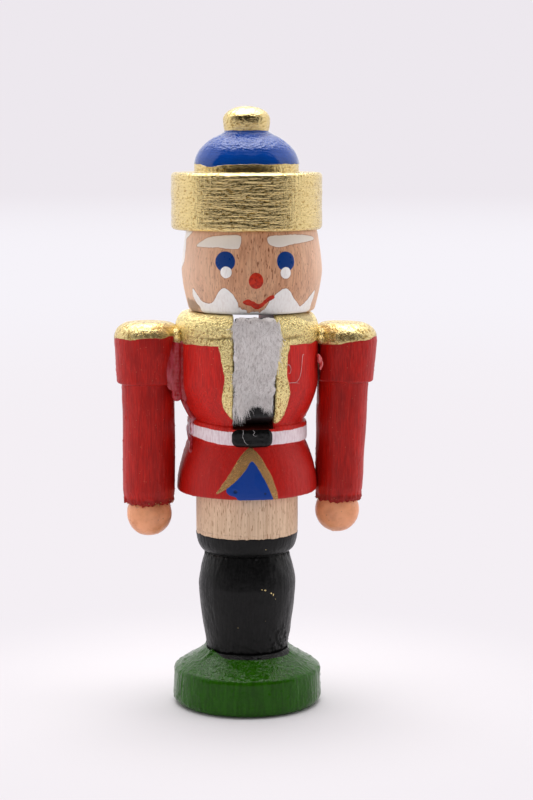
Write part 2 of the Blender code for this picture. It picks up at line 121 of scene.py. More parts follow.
def rounded(corners, steps=5):
    """An open outline from corners (across, up, rounding radius)."""
    points = [corners[0][:2]]
    for before, corner, after in zip(corners, corners[1:], corners[2:]):
        here = Vector(corner[:2])
        if corner[2] == 0:
            points.append(tuple(here))
            continue
        back = (Vector(before[:2]) - here).normalized()
        ahead = (Vector(after[:2]) - here).normalized()
        half = back.angle(ahead) / 2
        setback = corner[2] / math.tan(half)
        centre = here + (back + ahead).normalized() * (corner[2] / math.sin(half))
        start = here + back * setback - centre
        end = here + ahead * setback - centre
        for step in range(steps + 1):
            spoke = start.lerp(end, step / steps).normalized() * corner[2]
            points.append(tuple(centre + spoke))
    points.append(corners[-1][:2])
    return points


def arc(centre, radii, start, end, steps):
    """Points on an ellipse; angles in degrees up from the horizontal."""
    angles = np.radians(np.linspace(start, end, steps + 1))
    return [(centre[0] + radii[0] * math.cos(a), centre[1] + radii[1] * math.sin(a)) for a in angles]


def flank(start, widest, power, steps=10):
    """A side that swells from `start` to the widest place; both are (radius, height)."""
    points = []
    for step in range(steps):
        part = 1 - step / steps
        radius = widest[0] - (widest[0] - start[0]) * part ** power
        points.append((radius, widest[1] + (start[1] - widest[1]) * part))
    return points


def curved(corners, steps=5):
    """A closed outline with a soft curve through its corners."""
    corners = np.array(corners, float)
    before, after, beyond = (np.roll(corners, shift, 0) for shift in (1, -1, -2))
    points = []
    for t in np.arange(steps) / steps:
        points.append(0.5 * (
            2 * corners + (after - before) * t
            + (2 * before - 5 * corners + 4 * after - beyond) * t ** 2
            + (3 * corners - before - 3 * after + beyond) * t ** 3))
    return np.stack(points, 1).reshape(-1, 2)


def inside(across, up, corners):
    """Distance in mm inside a closed outline; negative outside it."""
    nearest = np.full(len(across), 1e9)
    within = np.zeros(len(across), bool)
    for (ax, ay), (bx, by) in zip(corners, np.roll(corners, -1, 0)):
        px, py, ex, ey = across - ax, up - ay, bx - ax, by - ay
        part = np.clip((px * ex + py * ey) / (ex * ex + ey * ey + 1e-12), 0, 1)
        nearest = np.minimum(nearest, (px - part * ex) ** 2 + (py - part * ey) ** 2)
        crosses = (ay > up) != (by > up)
        within ^= crosses & (across < ax + py * ex / (ey if ey else 1e-12))
    distance = np.sqrt(nearest)
    return np.where(within, distance, -distance)


class Side:
    """A turned piece's side rolled flat, on which paint is laid out."""

    def __init__(self, points, axis, radius):
        self.points = points
        self.radius = radius
        self.angle = np.degrees(np.arctan2(points[:, 0] - axis[0], axis[1] - points[:, 1]))
        self.height = points[:, 2] - GROUND

    def patch(self, corners, turn=0.0):
        """Distance inside a soft outline of (angle, height) corners; `turn` moves the cut in angles."""
        scale = np.array([math.radians(1) * self.radius, 1.0])
        shape = curved(np.array(corners, float) * scale)
        angle = (self.angle - turn + 180) % 360 - 180 + turn
        return inside(angle * scale[0], self.height, shape)

    def oval(self, angle, height, half_width, half_height):
        """Distance inside an oval; its half sizes are in mm."""
        across = math.radians(1) * (self.angle - angle) * self.radius
        reach = np.hypot(across / half_width, (self.height - height) / half_height)
        return (1 - reach) * min(half_width, half_height)

    def wave(self, size, seed):
        return noise(self.points, size, seed)


# ---------------------------------------------------------------- meshes

def lathe(profile, sides, pitch):
    """Points and faces of a turned shape, from (radius, height) points that go down its outer side."""
    rows = [profile[0]]
    for start, end in zip(profile, profile[1:]):
        count = max(1, round(math.dist(start, end) / pitch))
        for step in range(1, count + 1):
            part = step / count
            rows.append((start[0] + (end[0] - start[0]) * part, start[1] + (end[1] - start[1]) * part))
    rows = np.array(rows)
    rings = rows[1:-1]
    angle = np.arange(sides) * 2 * math.pi / sides
    points = np.empty((len(rings), sides, 3))
    points[:, :, 0] = rings[:, :1] * np.sin(angle)
    points[:, :, 1] = -rings[:, :1] * np.cos(angle)
    points[:, :, 2] = rings[:, 1:]
    points = np.vstack([[[0, 0, rows[0, 1]]], points.reshape(-1, 3), [[0, 0, rows[-1, 1]]]])
    here = np.arange(sides)
    there = (here + 1) % sides
    faces = [(0, 1 + a, 1 + b) for a, b in zip(here, there)]
    start = 1 + np.arange(len(rings) - 1)[:, None] * sides
    quads = np.stack([start + here, start + sides + here, start + sides + there, start + there], -1)
    faces += quads.reshape(-1, 4).tolist()
    last = 1 + (len(rings) - 1) * sides
    bottom = len(points) - 1
    faces += [(last + a, bottom, last + b) for a, b in zip(here, there)]
    return points, faces


def add_object(name, data):
    made = bpy.data.objects.new(name, data)
    bpy.context.scene.collection.objects.link(made)
    return made


def piece_from(name, points, faces):
    """A smooth mesh object; its points are in mm, with heights above the figure's underside."""
    mesh = bpy.data.meshes.new(name)
    mesh.from_pydata((np.asarray(points) + [0, 0, GROUND]) * MM, [], faces)
    mesh.shade_smooth()
    return add_object(name, mesh)


def points_of(piece):
    flat = np.empty(len(piece.data.vertices) * 3, np.float32)
    piece.data.vertices.foreach_get("co", flat)
    return flat.reshape(-1, 3).astype(float) / MM


def put_points(piece, points):
    piece.data.vertices.foreach_set("co", (points * MM).astype(np.float32).ravel())
    piece.data.update()


def swell(piece, amounts):
    """Moves every point out along its normal."""
    flat = np.empty(len(piece.data.vertices) * 3, np.float32)
    piece.data.vertex_normals.foreach_get("vector", flat)
    put_points(piece, points_of(piece) + flat.reshape(-1, 3) * np.asarray(amounts)[:, None])


def tag(piece, **values):
    """Keeps a value for every point, for the materials to read."""
    for name, value in values.items():
        layer = piece.data.attributes.new(name, "FLOAT", "POINT")
        layer.data.foreach_set("value", np.asarray(value, np.float32))


def applied(piece):
    """Swaps a piece's mesh for what its modifiers make."""
    bpy.context.view_layer.update()
    evaluated = piece.evaluated_get(bpy.context.evaluated_depsgraph_get())
    mesh = bpy.data.meshes.new_from_object(evaluated)
    piece.modifiers.clear()
    piece.data = mesh


def modify(piece, kind, **settings):
    modifier = piece.modifiers.new(kind.lower(), kind)
    for key, value in settings.items():
        setattr(modifier, key, value)


def turned(name, profile, axis, sides, pitch):
    """A turned piece; `sides` is its points in a ring and `pitch` how far apart its rings are."""
    points, faces = lathe(profile, sides, pitch)
    return piece_from(name, points + axis, faces)


def rides(piece, body, material, slot, *nodes):
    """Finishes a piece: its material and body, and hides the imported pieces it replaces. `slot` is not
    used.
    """
    piece.data.materials.append(material)
    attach(piece, body)
    if nodes:
        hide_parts(*nodes)


def blob(name, lumps, voxel, smoothing=4):
    """One soft solid from overlapping ellipsoids (centre, half sizes)."""
    solid = bmesh.new()
    for centre, half in lumps:
        made = bmesh.ops.create_icosphere(solid, subdivisions=3, radius=1.0)["verts"]
        bmesh.ops.scale(solid, verts=made, vec=[h * MM for h in half])
        bmesh.ops.translate(solid, verts=made, vec=[(c + g) * MM for c, g in zip(centre, (0, 0, GROUND))])
    mesh = bpy.data.meshes.new(name)
    solid.to_mesh(mesh)
    solid.free()
    piece = add_object(name, mesh)
    modify(piece, "REMESH", mode="VOXEL", voxel_size=voxel * MM, use_smooth_shade=True)
    modify(piece, "SMOOTH", factor=0.5, iterations=smoothing)
    applied(piece)
    piece.data.shade_smooth()
    return piece


def threads(name, paths, widths, sides=3):
    """Thin tapering tubes along paths; each path is an array of points."""
    points, faces, shades = [], [], []
    total = 0
    for number, (path, width) in enumerate(zip(paths, widths)):
        path = np.asarray(path, float)
        ahead = np.gradient(path, axis=0)
        ahead /= np.linalg.norm(ahead, axis=1)[:, None] + 1e-9
        across = np.cross(ahead, [0.3, 1.0, 0.2])
        across /= np.linalg.norm(across, axis=1)[:, None] + 1e-9
        other = np.cross(ahead, across)
        count = len(path)
        taper = width / 2 * (1 - 0.75 * np.linspace(0, 1, count) ** 3)
        for side in range(sides):
            turn = 2 * math.pi * side / sides
            points.append(path + taper[:, None] * (across * math.cos(turn) + other * math.sin(turn)))
        grid = total + np.arange(sides)[:, None] * count + np.arange(count)
        nearby = np.roll(grid, -1, 0)
        quads = np.stack([grid[:, :-1], grid[:, 1:], nearby[:, 1:], nearby[:, :-1]], -1)
        faces += quads.reshape(-1, 4).tolist()
        faces.append(grid[::-1, 0].tolist())
        faces.append(grid[:, -1].tolist())
        shades.append(np.full(sides * count, (number * 0.618034) % 1.0))
        total += sides * count
    piece = piece_from(name, np.vstack(points), faces)
    tag(piece, shade=np.concatenate(shades))
    return piece


# ---------------------------------------------------------------- materials

def tone(red, green, blue):
    """A linear colour from 0-255 display values."""
    values = [v / 255 for v in (red, green, blue)]
    return tuple(v / 12.92 if v <= 0.04045 else ((v + 0.055) / 1.055) ** 2.4 for v in values)


def feed(tree, socket, value):
    """Links another node's output to a socket, or sets the socket's own value."""
    if isinstance(value, bpy.types.NodeSocket):
        tree.links.new(value, socket)
    elif socket.type == "RGBA":
        socket.default_value = (*value[:3], 1.0)
    else:
        socket.default_value = value


def add_node(tree, kind, inputs=None, **settings):
    node = tree.nodes.new(kind)
    for key, value in settings.items():
        setattr(node, key, value)
    for key, value in (inputs or {}).items():
        feed(tree, node.inputs[key], value)
    return node


class Finish:
    """A material made of layers of paint, each laid over the last."""

    def __init__(self, name):
        self.material = bpy.data.materials.new(name)
        self.material.use_nodes = True
        self.tree = self.material.node_tree
        self.shader = self.tree.nodes["Principled BSDF"]
        self.place = self.add("ShaderNodeTexCoord").outputs["Object"]

    def add(self, kind, inputs=None, **settings):
        return add_node(self.tree, kind, inputs, **settings)

    def set(self, name, value):
        """Gives one of the shader's own inputs a value."""
        feed(self.tree, self.shader.inputs[name], value)

    def calc(self, operation, *values):
        return self.add("ShaderNodeMath", dict(enumerate(values)), operation=operation).outputs[0]

    def grain(self, size, detail=2.0, seed=0.0, roughness=0.5):
        """Noise from 0 to 1; `size` is how far apart its bumps are in mm: one number or three."""
        sizes = size if isinstance(size, tuple) else (size,) * 3
        stretch = tuple(1 / (s * MM) for s in sizes)
        spot = self.add(
            "ShaderNodeVectorMath", {0: self.place, 1: stretch, 2: (seed, seed * 2, seed * 3)},
            operation="MULTIPLY_ADD").outputs[0]
        inputs = {"Vector": spot, "Scale": 1.0, "Detail": detail, "Roughness": roughness}
        return self.add("ShaderNodeTexNoise", inputs).outputs[0]

    def specks(self, size, share, seed=0.0):
        """Small round spots: `size` is their spacing in mm and `share` their radius over it."""
        spot = self.add(
            "ShaderNodeVectorMath", {0: self.place, 1: (1 / (size * MM),) * 3, 2: (seed,) * 3},
            operation="MULTIPLY_ADD").outputs[0]
        cell = self.add("ShaderNodeTexVoronoi", {"Vector": spot, "Scale": 1.0}).outputs["Distance"]
        return self.level(cell, share, share * 0.4)

    def level(self, value, low, high, start=0.0, end=1.0, smooth=True):
        """Turns low..high into start..end."""
        node = self.add("ShaderNodeMapRange", {0: value, 1: low, 2: high, 3: start, 4: end})
        node.interpolation_type = "SMOOTHSTEP" if smooth else "LINEAR"
        return node.outputs[0]

    def gloss(self, value, low, high):
        """Roughness that changes from `low` to `high` with a grain."""
        return self.level(value, 0.3, 0.7, low, high)

    def kept(self, name):
        """A value that tag() kept."""
        return self.add("ShaderNodeAttribute", attribute_name=name).outputs["Fac"]

    def edge(self, name, wobble=0.1, size=0.35, width=0.05, seed=3.0, offset=0.0):
        """1 inside a painted shape and 0 outside it, with a brushed edge."""
        ragged = self.calc("MULTIPLY_ADD", self.grain(size, 3.0, seed), wobble * 2, offset - wobble)
        return self.level(self.calc("ADD", self.kept(name), ragged), -width / 2, width / 2)

    def mix(self, share, under, over):
        """Mixes two colours, or two numbers."""
        pair = (under, over)
        flat = all(isinstance(v, (int, float)) or getattr(v, "type", "") == "VALUE" for v in pair)
        first = 2 if flat else 6
        inputs = {0: share, first: under, first + 1: over}
        node = self.add("ShaderNodeMix", inputs, data_type="FLOAT" if flat else "RGBA")
        return node.outputs[0 if flat else 2]

    def ground(self, colour, roughness, metal=0.0, height=0.5):
        self.layers = [colour, roughness, metal, height]

    def cover(self, share, colour=None, roughness=None, metal=None, height=None, strength=None):
        """Lays another finish over the last one where `share` is 1, or thinly for a low `strength`."""
        if strength is not None:
            share = self.calc("MULTIPLY", share, strength)
        for index, value in enumerate((colour, roughness, metal, height)):
            if value is not None:
                self.layers[index] = self.mix(share, self.layers[index], value)

    def done(self, depth, shine=0.28, **fixed):
        """Closes the material; `depth` is how deep its fine relief is, in mm."""
        colour, roughness, metal, height = self.layers
        self.set("Specular IOR Level", shine)
        self.set("Base Color", colour)
        self.set("Roughness", roughness)
        self.set("Metallic", metal)
        if isinstance(height, bpy.types.NodeSocket):
            relief = {"Strength": 1.0, "Distance": depth * MM, "Height": height}
            self.set("Normal", self.add("ShaderNodeBump", relief).outputs[0])
        for name, value in fixed.items():
            self.set(name.replace("_", " "), value)
        return self.material


RED = tone(208, 24, 10)
RED_DEEP = tone(150, 12, 8)
RED_FADED = tone(220, 74, 62)
DUST = tone(238, 160, 120)
GOLD = (0.80, 0.63, 0.29)
GOLD_IN_SHADE = (0.50, 0.33, 0.10)
BLUE = tone(6, 56, 140)
HAT_BLUE = tone(4, 60, 142)
WHITE = tone(240, 236, 233)
BLACK = tone(9, 9, 9)
GREEN = tone(34, 84, 2)
PEACH = tone(238, 164, 120)
WOOD = tone(212, 158, 122)
WOOD_DARK = tone(126, 72, 44)
BARE = tone(230, 200, 170)
BARE_DARK = tone(176, 138, 108)
GREEN_DEEP = tone(27, 68, 2)
TORN_RED = tone(120, 20, 14)
LOW_EDGE_BROWN = tone(140, 118, 96)
EYE_BLUE = tone(8, 52, 118)
LIP_RED = tone(194, 42, 9)
LIP_DEEP = tone(150, 26, 5)
BROW_GREY = tone(218, 207, 194)
TRIM_BROWN = (0.42, 0.17, 0.05)
FOLD_SHADE_BROWN = (0.22, 0.14, 0.04)


def lay_wood(finish, light, dark):
    """Turned beech: long grain with short dark flecks."""
    long_grain = finish.grain((0.35, 0.35, 7.0), 4.0, 1.3)
    middle = tuple(0.5 * (a + b) for a, b in zip(light, dark))
    tint = finish.mix(finish.level(long_grain, 0.3, 0.75), light, middle)
    flecks = finish.level(finish.grain((0.17, 0.17, 1.1), 1.0, 5.1), 0.60, 0.68)
    tint = finish.mix(flecks, tint, dark)
    height = finish.calc("SUBTRACT", long_grain, finish.calc("MULTIPLY", flecks, 0.5))
    finish.ground(tint, 0.55, 0.0, height)


def lay_red(finish, bright=1.0):
    """Thin red paint brushed up and down, over wood grain."""
    light, deep, faded = (tuple(c * bright for c in colour) for colour in (RED, RED_DEEP, RED_FADED))
    streaks = finish.grain((0.15, 0.15, 3.0), 5.0, 2.2, 0.6)
    wide = finish.grain((1.6, 1.6, 7.0), 3.0, 7.0)
    tint = finish.mix(finish.level(streaks, 0.30, 0.78), light, deep)
    tint = finish.mix(finish.level(wide, 0.45, 0.7, 0.0, 0.5), tint, deep)
    thin = finish.level(finish.grain((0.10, 0.10, 1.8), 3.0, 9.7), 0.58, 0.74, 0.0, 0.5)
    tint = finish.mix(thin, tint, faded)
    dust = finish.specks(0.75, 0.10, 4.0)
    tint = finish.mix(finish.calc("MULTIPLY", dust, 0.42), tint, DUST)
    height = finish.calc("ADD", streaks, finish.calc("MULTIPLY", dust, 0.8))
    finish.ground(tint, finish.level(streaks, 0.3, 0.8, 0.36, 0.52), 0.0, height)


def gold_leaf(finish, size=0.30, metal=0.85, bright=1.0, flecks=(0.38, 0.52)):
    """Colour, roughness, metal and height of thick gold paint, whose colour turns dark in the crinkles'
    low parts as painted shade; `flecks` gives the crinkle heights over which it turns dark.
    """
    crinkle = finish.grain(size, 5.0, 1.0, 0.62)
    pale = tuple(min(1.0, c * bright) for c in GOLD)
    # Painted shade: the low parts of the crinkle get the dark gold.
    tint = finish.mix(finish.level(crinkle, *flecks), GOLD_IN_SHADE, pale)
    return tint, 0.24, metal, finish.calc("MULTIPLY", crinkle, 5.0)


# ---------------------------------------------------------------- base

BASE_SIDE = 12.5
BASE_TOP = 9.2
BASE_TOP_RADIUS = 7.1
BASE_SLOPE_END = (12.25, 6.05)
PAINT_RIDGE = 7.0        # radius of the ridge of green paint round the boots
BOOT_PAINT_EDGE = 6.9    # how far the boots' black paint runs out on the base


def make_base():
    axis = axis_of("base_disc")
    profile = rounded([
        (0, BASE_TOP, 0), (BASE_TOP_RADIUS, BASE_TOP, 0.6), (*BASE_SLOPE_END, 0.9),
        (BASE_SIDE, 0, 1.5), (0, 0, 0)])
    piece = turned("base_paint", profile, axis, sides=400, pitch=0.2)
    points = points_of(piece)
    side = Side(points, axis, BASE_SIDE)
    upright = smooth_step(side.height, 0.15, 1.2)
    lumps = rough(points, 3.0, 11) * 0.07
    streaks = noise(points, (0.8, 0.8, 5.0), 12) * 0.035 * smooth_step(6.3 - side.height, 0, 1)
    pimples = np.clip(noise(points, 0.55, 13) - 0.45, 0, 1) * 0.22
    peak = side.oval(-62, 8.9, 1.0, 1.1)
    radius = np.hypot(points[:, 0], points[:, 1])
    ridge = np.exp(-((radius - PAINT_RIDGE) / 0.5) ** 2) * 0.18
    swell(piece, (lumps + streaks + pimples + ridge) * upright + smooth_step(peak, -0.3, 0.8) * 0.25)
    lip = smooth_step(side.angle, -58, -30) * smooth_step(-side.angle, -74, -52)
    tag(piece, black=BOOT_PAINT_EDGE + 0.95 * lip - radius)
    green = Finish("green_gloss")
    streak = green.grain((0.5, 0.5, 4.0), 3.0, 3.0)
    lumpy = green.grain(0.55, 4.0, 6.0)
    tint = green.mix(green.level(streak, 0.3, 0.7), GREEN, GREEN_DEEP)
    green.ground(tint, green.gloss(lumpy, 0.08, 0.16), 0.0, green.calc("ADD", streak, lumpy))
    green.cover(green.edge("black", 0.12, 0.3), BLACK, 0.3)
    material = green.done(0.10, 0.18)
    rides(piece, "figure", material, "green_paint", "base_disc")


# ---------------------------------------------------------------- legs

LEGS_TOP = 35.9
TROUSER_RADIUS = 8.45
TROUSER_END = 29.6
BOOT_PAINT_LINE = 29.0
GROOVE_RADIUS = 6.72
BOOT_TOP = (6.9, 25.6)
CALF = (8.05, 20.2)
ANKLE = (6.7, 9.6)
LEGS_BOTTOM = 8.9
GILT_CHIPS = [
    (11, 20.5, 0.16, 0.10), (15, 20.4, 0.22, 0.13), (23, 19.8, 0.13, 0.16), (26, 19.5, 0.12, 0.20),
    (17, 15.2, 0.10, 0.09), (29, 18.7, 0.09, 0.09), (16, 27.2, 0.09, 0.09), (-18, 14.0, 0.10, 0.08)]


def make_legs():
    axis = axis_of("legs")
    profile = [
        (0, LEGS_TOP), (8.3, LEGS_TOP), (TROUSER_RADIUS, 35.7),
        (TROUSER_RADIUS, TROUSER_END), *arc((6.75, TROUSER_END), (1.7, 3.75), 0, -88, 12),
        (GROOVE_RADIUS, 25.75), *flank(BOOT_TOP, CALF, 1.5), CALF, *flank(ANKLE, CALF, 1.4)[::-1],
        (6.55, 9.2), (6.2, LEGS_BOTTOM), (0, LEGS_BOTTOM)]
    piece = turned("boots_and_trousers", profile, axis, sides=320, pitch=0.2)
    points = points_of(piece)
    side = Side(points, axis, 8.2)
    paint_line = BOOT_PAINT_LINE + 0.12 * side.wave((1.2, 1.2, 50.0), 21)
    paint_line += 0.1 * side.wave((0.35, 0.35, 50.0), 22)
    black = paint_line - side.height
    painted = smooth_step(black, -0.05, 0.1)
    grain = noise(points, (0.35, 0.35, 4.0), 23) * 0.02
    lumps = rough(points, 2.0, 24) * 0.05 * painted
    torn = smooth_step(noise(points, (0.3, 0.3, 0.5), 25), 0.1, 0.8) * 0.16
    frayed = np.exp(-((side.height - 25.4) / 0.45) ** 2) + np.exp(-((side.height - 9.6) / 0.9) ** 2)
    right_heel = smooth_step(side.oval(42, 11.5, 3.2, 2.6), -0.6, 1.2) * smooth_step(
        noise(points, 0.35, 26), 0.0, 0.7) * 0.22
    fade = smooth_step(side.height, 9.0, 9.6)
    swell(piece, (grain + lumps + painted * 0.05 + torn * frayed + right_heel) * fade)
    gilt = np.max([side.oval(*chip) for chip in GILT_CHIPS], 0)
    tag(piece, black=black, gilt=gilt)
    legs = Finish("boots_and_bare_wood")
    lay_wood(legs, BARE, BARE_DARK)
    streak = legs.grain((0.3, 0.3, 2.5), 3.0, 4.0)
    bumps = legs.grain(0.45, 4.0, 8.0)
    ink = legs.mix(legs.level(streak, 0.35, 0.75), BLACK, tone(18, 18, 18))
    legs.cover(legs.edge("black", 0.05), ink, legs.gloss(bumps, 0.30, 0.46), 0.0,
               legs.calc("ADD", streak, bumps))
    legs.cover(legs.edge("gilt", 0.04, 0.15, 0.04), GOLD, 0.3, 0.8)
    rides(piece, "figure", legs.done(0.04, 0.2), "boot_and_trousers", "legs")


# ---------------------------------------------------------------- coat

COAT_SIDE = 11.3         # radius at which angles on the coat are turned into mm
SLOT_HALF = 3.25
SLOT_FLOOR = 47.3
SLOT_EDGE = 0.35
COLLAR_TOP = 65.7
CHEST = (11.75, 54.3)
WAIST = (9.42, 48.0)
BELT_RADIUS = 9.82
SKIRT_HEM = (11.6, 36.4)
COAT_BOTTOM = 36.08
COLLAR_PROFILE = [
    (0, COLLAR_TOP), (9.6, COLLAR_TOP), *arc((9.9, 62.9), (1.85, 2.8), 88, 0, 12),
    CHEST, *flank(WAIST, CHEST, 1.5)[::-1],
    (9.45, 47.8), (9.72, 47.62), (BELT_RADIUS, 47.4)]
SKIRT_PROFILE = [
    (BELT_RADIUS, 44.75), (9.62, 44.5), *flank((9.6, 44.45), SKIRT_HEM, 2.0),
    (11.6, 36.45), (11.5, 36.2), (11.3, COAT_BOTTOM), (0, COAT_BOTTOM)]
GOLD_LINE = 60.95
FOLD_LINE = 62.15
BELT_TOP = 46.9
BELT_BOTTOM = 44.72
BUCKLE_MIDDLE = (-1.4, 45.9)
BUCKLE_CORE = (2.2, 0.35)    # half width and half height of the buckle before its rounding
BUCKLE_ROUNDING = 1.14

# Painted outlines, as (angle, height).
LEFT_LAPEL = [
    (-12, 62), (-27.6, 61.4), (-27.2, 59.4), (-25.6, 57.4), (-24.4, 55.8), (-25.4, 54), (-27.3, 52.4),
    (-26.7, 50.8), (-24, 49.7), (-19.6, 48.9), (-17.4, 49.6), (-12, 50)]
RIGHT_LAPEL = [
    (12, 62), (28.3, 61.2), (27.2, 59.2), (26.6, 57.2), (26.8, 55.8), (29.6, 54.0), (30.6, 52.2),
    (29.6, 50.0), (26, 48.4), (20.5, 48.3), (18.6, 50), (12, 50)]
FLAP_EDGE = [
    (-4, 44.45), (-1, 44.35), (6, 42.9), (10, 41.5), (15, 39.5), (19.4, 36.2), (15.2, 36.2), (11, 38.1),
    (7, 39.7), (-1.4, 42.3), (-7, 41.1), (-12, 39.9), (-18, 38.7), (-23, 37.9), (-31.8, 36.9),
    (-28, 38.2), (-22, 39.9), (-16, 42.0), (-11, 43.3)]
FLAP = [
    (-1.4, 42.6), (7.4, 39.9), (11.4, 38.2), (15.4, 36.1), (14, 35.6), (-11, 35.6), (-15, 36.5),
    (-21, 36.9), (-23.4, 37.5), (-21.5, 38.3), (-12, 40.1)]
COLLAR_BACK_PATCH = [(42, 65.4), (50, 64.7), (58, 64.4), (66, 64.6), (66, 67), (42, 67)]


def coat_paint(points, axis):
    """Distances inside the coat's painted shapes."""
    side = Side(points, axis, COAT_SIDE)
    wave = 0.16 * side.wave((2.2, 2.2, 60.0), 31) + 0.05 * side.wave((0.6, 0.6, 60.0), 32)
    collar = side.height - GOLD_LINE - wave
    lapels = np.maximum(side.patch(LEFT_LAPEL), side.patch(RIGHT_LAPEL)) + 0.10 * side.wave(0.9, 33)
    edge = side.patch(FLAP_EDGE) + 0.04 * side.wave(0.7, 34)
    belt = np.minimum(BELT_TOP - side.height, side.height - BELT_BOTTOM)
    belt += 0.07 * side.wave((0.9, 0.9, 9), 35)
    across = np.abs(math.radians(1) * (side.angle - BUCKLE_MIDDLE[0]) * 9.8)
    up = np.abs(side.height - BUCKLE_MIDDLE[1])
    corner = np.hypot(np.maximum(across - BUCKLE_CORE[0], 0), np.maximum(up - BUCKLE_CORE[1], 0))
    buckle = BUCKLE_ROUNDING - corner + 0.05 * side.wave(1.2, 36)
    gold = np.maximum(np.maximum(collar, lapels), edge)
    dents = np.maximum(side.oval(-15.7, 37.45, 0.33, 0.3), side.oval(8.2, 37.1, 0.22, 0.22))
    fold_height = FOLD_LINE - 0.25 * side.wave(1.6, 38)
    # The fold is a groove in the gold, also darkened with painted shade.
    fold_groove_shade = np.exp(-((side.height - fold_height) / 0.26) ** 2) * smooth_step(-np.abs(side.angle), -50, -34)
    collar_back_patch = side.patch(COLLAR_BACK_PATCH) + 0.1 * side.wave(0.5, 37)
    return {
        "gold": gold, "trim": edge, "blue": side.patch(FLAP), "belt": belt, "buckle": buckle,
        "dents": dents, "collar_back_patch": collar_back_patch, "fold_groove_shade": fold_groove_shade,
        # The last entry marks the skirt below the belt, which is darkened as painted shade.
        "skirt_painted_shade": smooth_step(45.0 - side.height, 0, 1.5)}


def belt_climb(points, axis):
    """How far the belt ring rises towards the figure's right."""
    side = Side(points, axis, COAT_SIDE)
    return 0.95 * smooth_step(-side.angle, 20, 78) * np.exp(-((side.height - 46.0) / 2.6) ** 2)


def coat_relief(points, axis, paint):
    side = Side(points, axis, COAT_SIDE)
    gilt = smooth_step(paint["gold"], -0.02, 0.14)
    buckle = smooth_step(paint["buckle"], 0.0, 0.55)
    belt = smooth_step(paint["belt"], 0.0, 0.15) * (1 - buckle)
    relief = rough(points, 5.0, 41) * 0.05
    relief += noise(points, (0.4, 0.4, 4.0), 42) * 0.022 * (1 - gilt)
    relief += np.clip(noise(points, 0.5, 43) - 0.62, 0, 1) * 0.25 * (1 - gilt)
    relief += gilt * (0.06 + 0.03 * rough(points, 0.8, 44) - 0.22 * paint["fold_groove_shade"])
    relief += belt * (0.05 + 0.02 * noise(points, (0.6, 0.6, 1.5), 45))
    relief += buckle * (0.24 + 0.02 * rough(points, 0.8, 46))
    relief += smooth_step(paint["blue"], 0, 0.2) * 0.05 * (1 - gilt)
    relief -= smooth_step(paint["dents"], 0, 0.2) * 0.16
    hairs = smooth_step(noise(points, (0.22, 0.22, 3.0), 47), 0.25, 0.7)
    ring = np.exp(-((side.height - 47.2) / 0.3) ** 2) * (1 - buckle)
    relief += ring * hairs * 0.06
    return relief


def slot_cutter(axis, outer):
    """The slot's shape, with a softened edge that follows the coat's outer side."""
    heights = [SLOT_FLOOR, *np.arange(SLOT_FLOOR + 0.3, 67.0, 0.3), 69.0]
    turns = np.radians([0, 20, 45, 70, 90])
    sections = []
    for height in heights:
        radius = float(np.interp(height, outer[:, 1], outer[:, 0]))
        reach = math.sqrt(radius ** 2 - (SLOT_HALF + SLOT_EDGE) ** 2) + 0.02
        half = [
            (SLOT_HALF + SLOT_EDGE + 0.15, -reach - 4.0), (SLOT_HALF + SLOT_EDGE + 0.05, -reach - 0.3)]
        for turn in turns:
            half.append((
                SLOT_HALF + SLOT_EDGE - SLOT_EDGE * math.sin(turn),
                -(reach - SLOT_EDGE) - SLOT_EDGE * math.cos(turn)))
        half += [(SLOT_HALF, y) for y in np.linspace(-(reach - SLOT_EDGE), 0, 14)[1:]]
        half += [(x, -y) for x, y in half[-2::-1]]
        loop = half + [(-x, y) for x, y in half[::-1]]
        sections.append([(x + axis[0], y + axis[1], height) for x, y in loop])
    points = np.array(sections)
    count = points.shape[1]
    faces = [list(range(count))[::-1]]
    for row in range(len(heights) - 1):
        for index in range(count):
            ahead = (index + 1) % count
            start = row * count
            faces.append([start + index, start + ahead, start + count + ahead, start + count + index])
    faces.append([(len(heights) - 1) * count + index for index in range(count)])
    cutter = piece_from("slot_cutter", points.reshape(-1, 3), faces)
    shape = bmesh.new()
    shape.from_mesh(cutter.data)
    bmesh.ops.recalc_face_normals(shape, faces=shape.faces)
    shape.to_mesh(cutter.data)
    shape.free()
    return cutter


def coat_material():
    coat = Finish("coat_paint")
    lay_red(coat)
    # Painted shade: the skirt below the belt is darkened with the deeper red.
    coat.cover(coat.kept("skirt_painted_shade"), RED_DEEP, strength=0.45)
    cobalt = coat.grain(0.7, 3.0, 2.0)
    coat.cover(coat.edge("blue", 0.05), BLUE, coat.gloss(cobalt, 0.3, 0.4), 0.0, cobalt)
    coat.cover(coat.edge("dents", 0.03), tone(10, 40, 92))
    chalk = coat.grain((0.3, 0.3, 1.2), 3.0, 5.0)
    tint = coat.mix(coat.level(chalk, 0.3, 0.75), tone(236, 222, 226), tone(214, 190, 196))
    coat.cover(coat.edge("belt", 0.10, 0.25), tint, 0.42, 0.0, chalk)
    # The coat's gold is a 1.32 times brighter copy of the gold on the arms and shoulders: painted light.
    coat.cover(coat.edge("gold", 0.10, 0.3), *gold_leaf(coat, 0.36, 0.84, 1.32, (0.375, 0.49)))
    coat.cover(coat.edge("trim", 0.1, 0.3), TRIM_BROWN, strength=0.8)
    # Painted shade along the collar's fold, over the groove pressed in there.
    coat.cover(coat.kept("fold_groove_shade"), FOLD_SHADE_BROWN, strength=0.7)
    pitch = coat.grain(0.5, 3.0, 9.0)
    coat.cover(coat.edge("buckle", 0.03), BLACK, coat.gloss(pitch, 0.24, 0.38), 0.0, pitch)
    # A beige patch over the gold at the back of the collar's top, on the figure's left.
    coat.cover(coat.edge("collar_back_patch", 0.1), tone(176, 158, 124), 0.6, 0.3, strength=0.6)
    return coat.done(0.05)


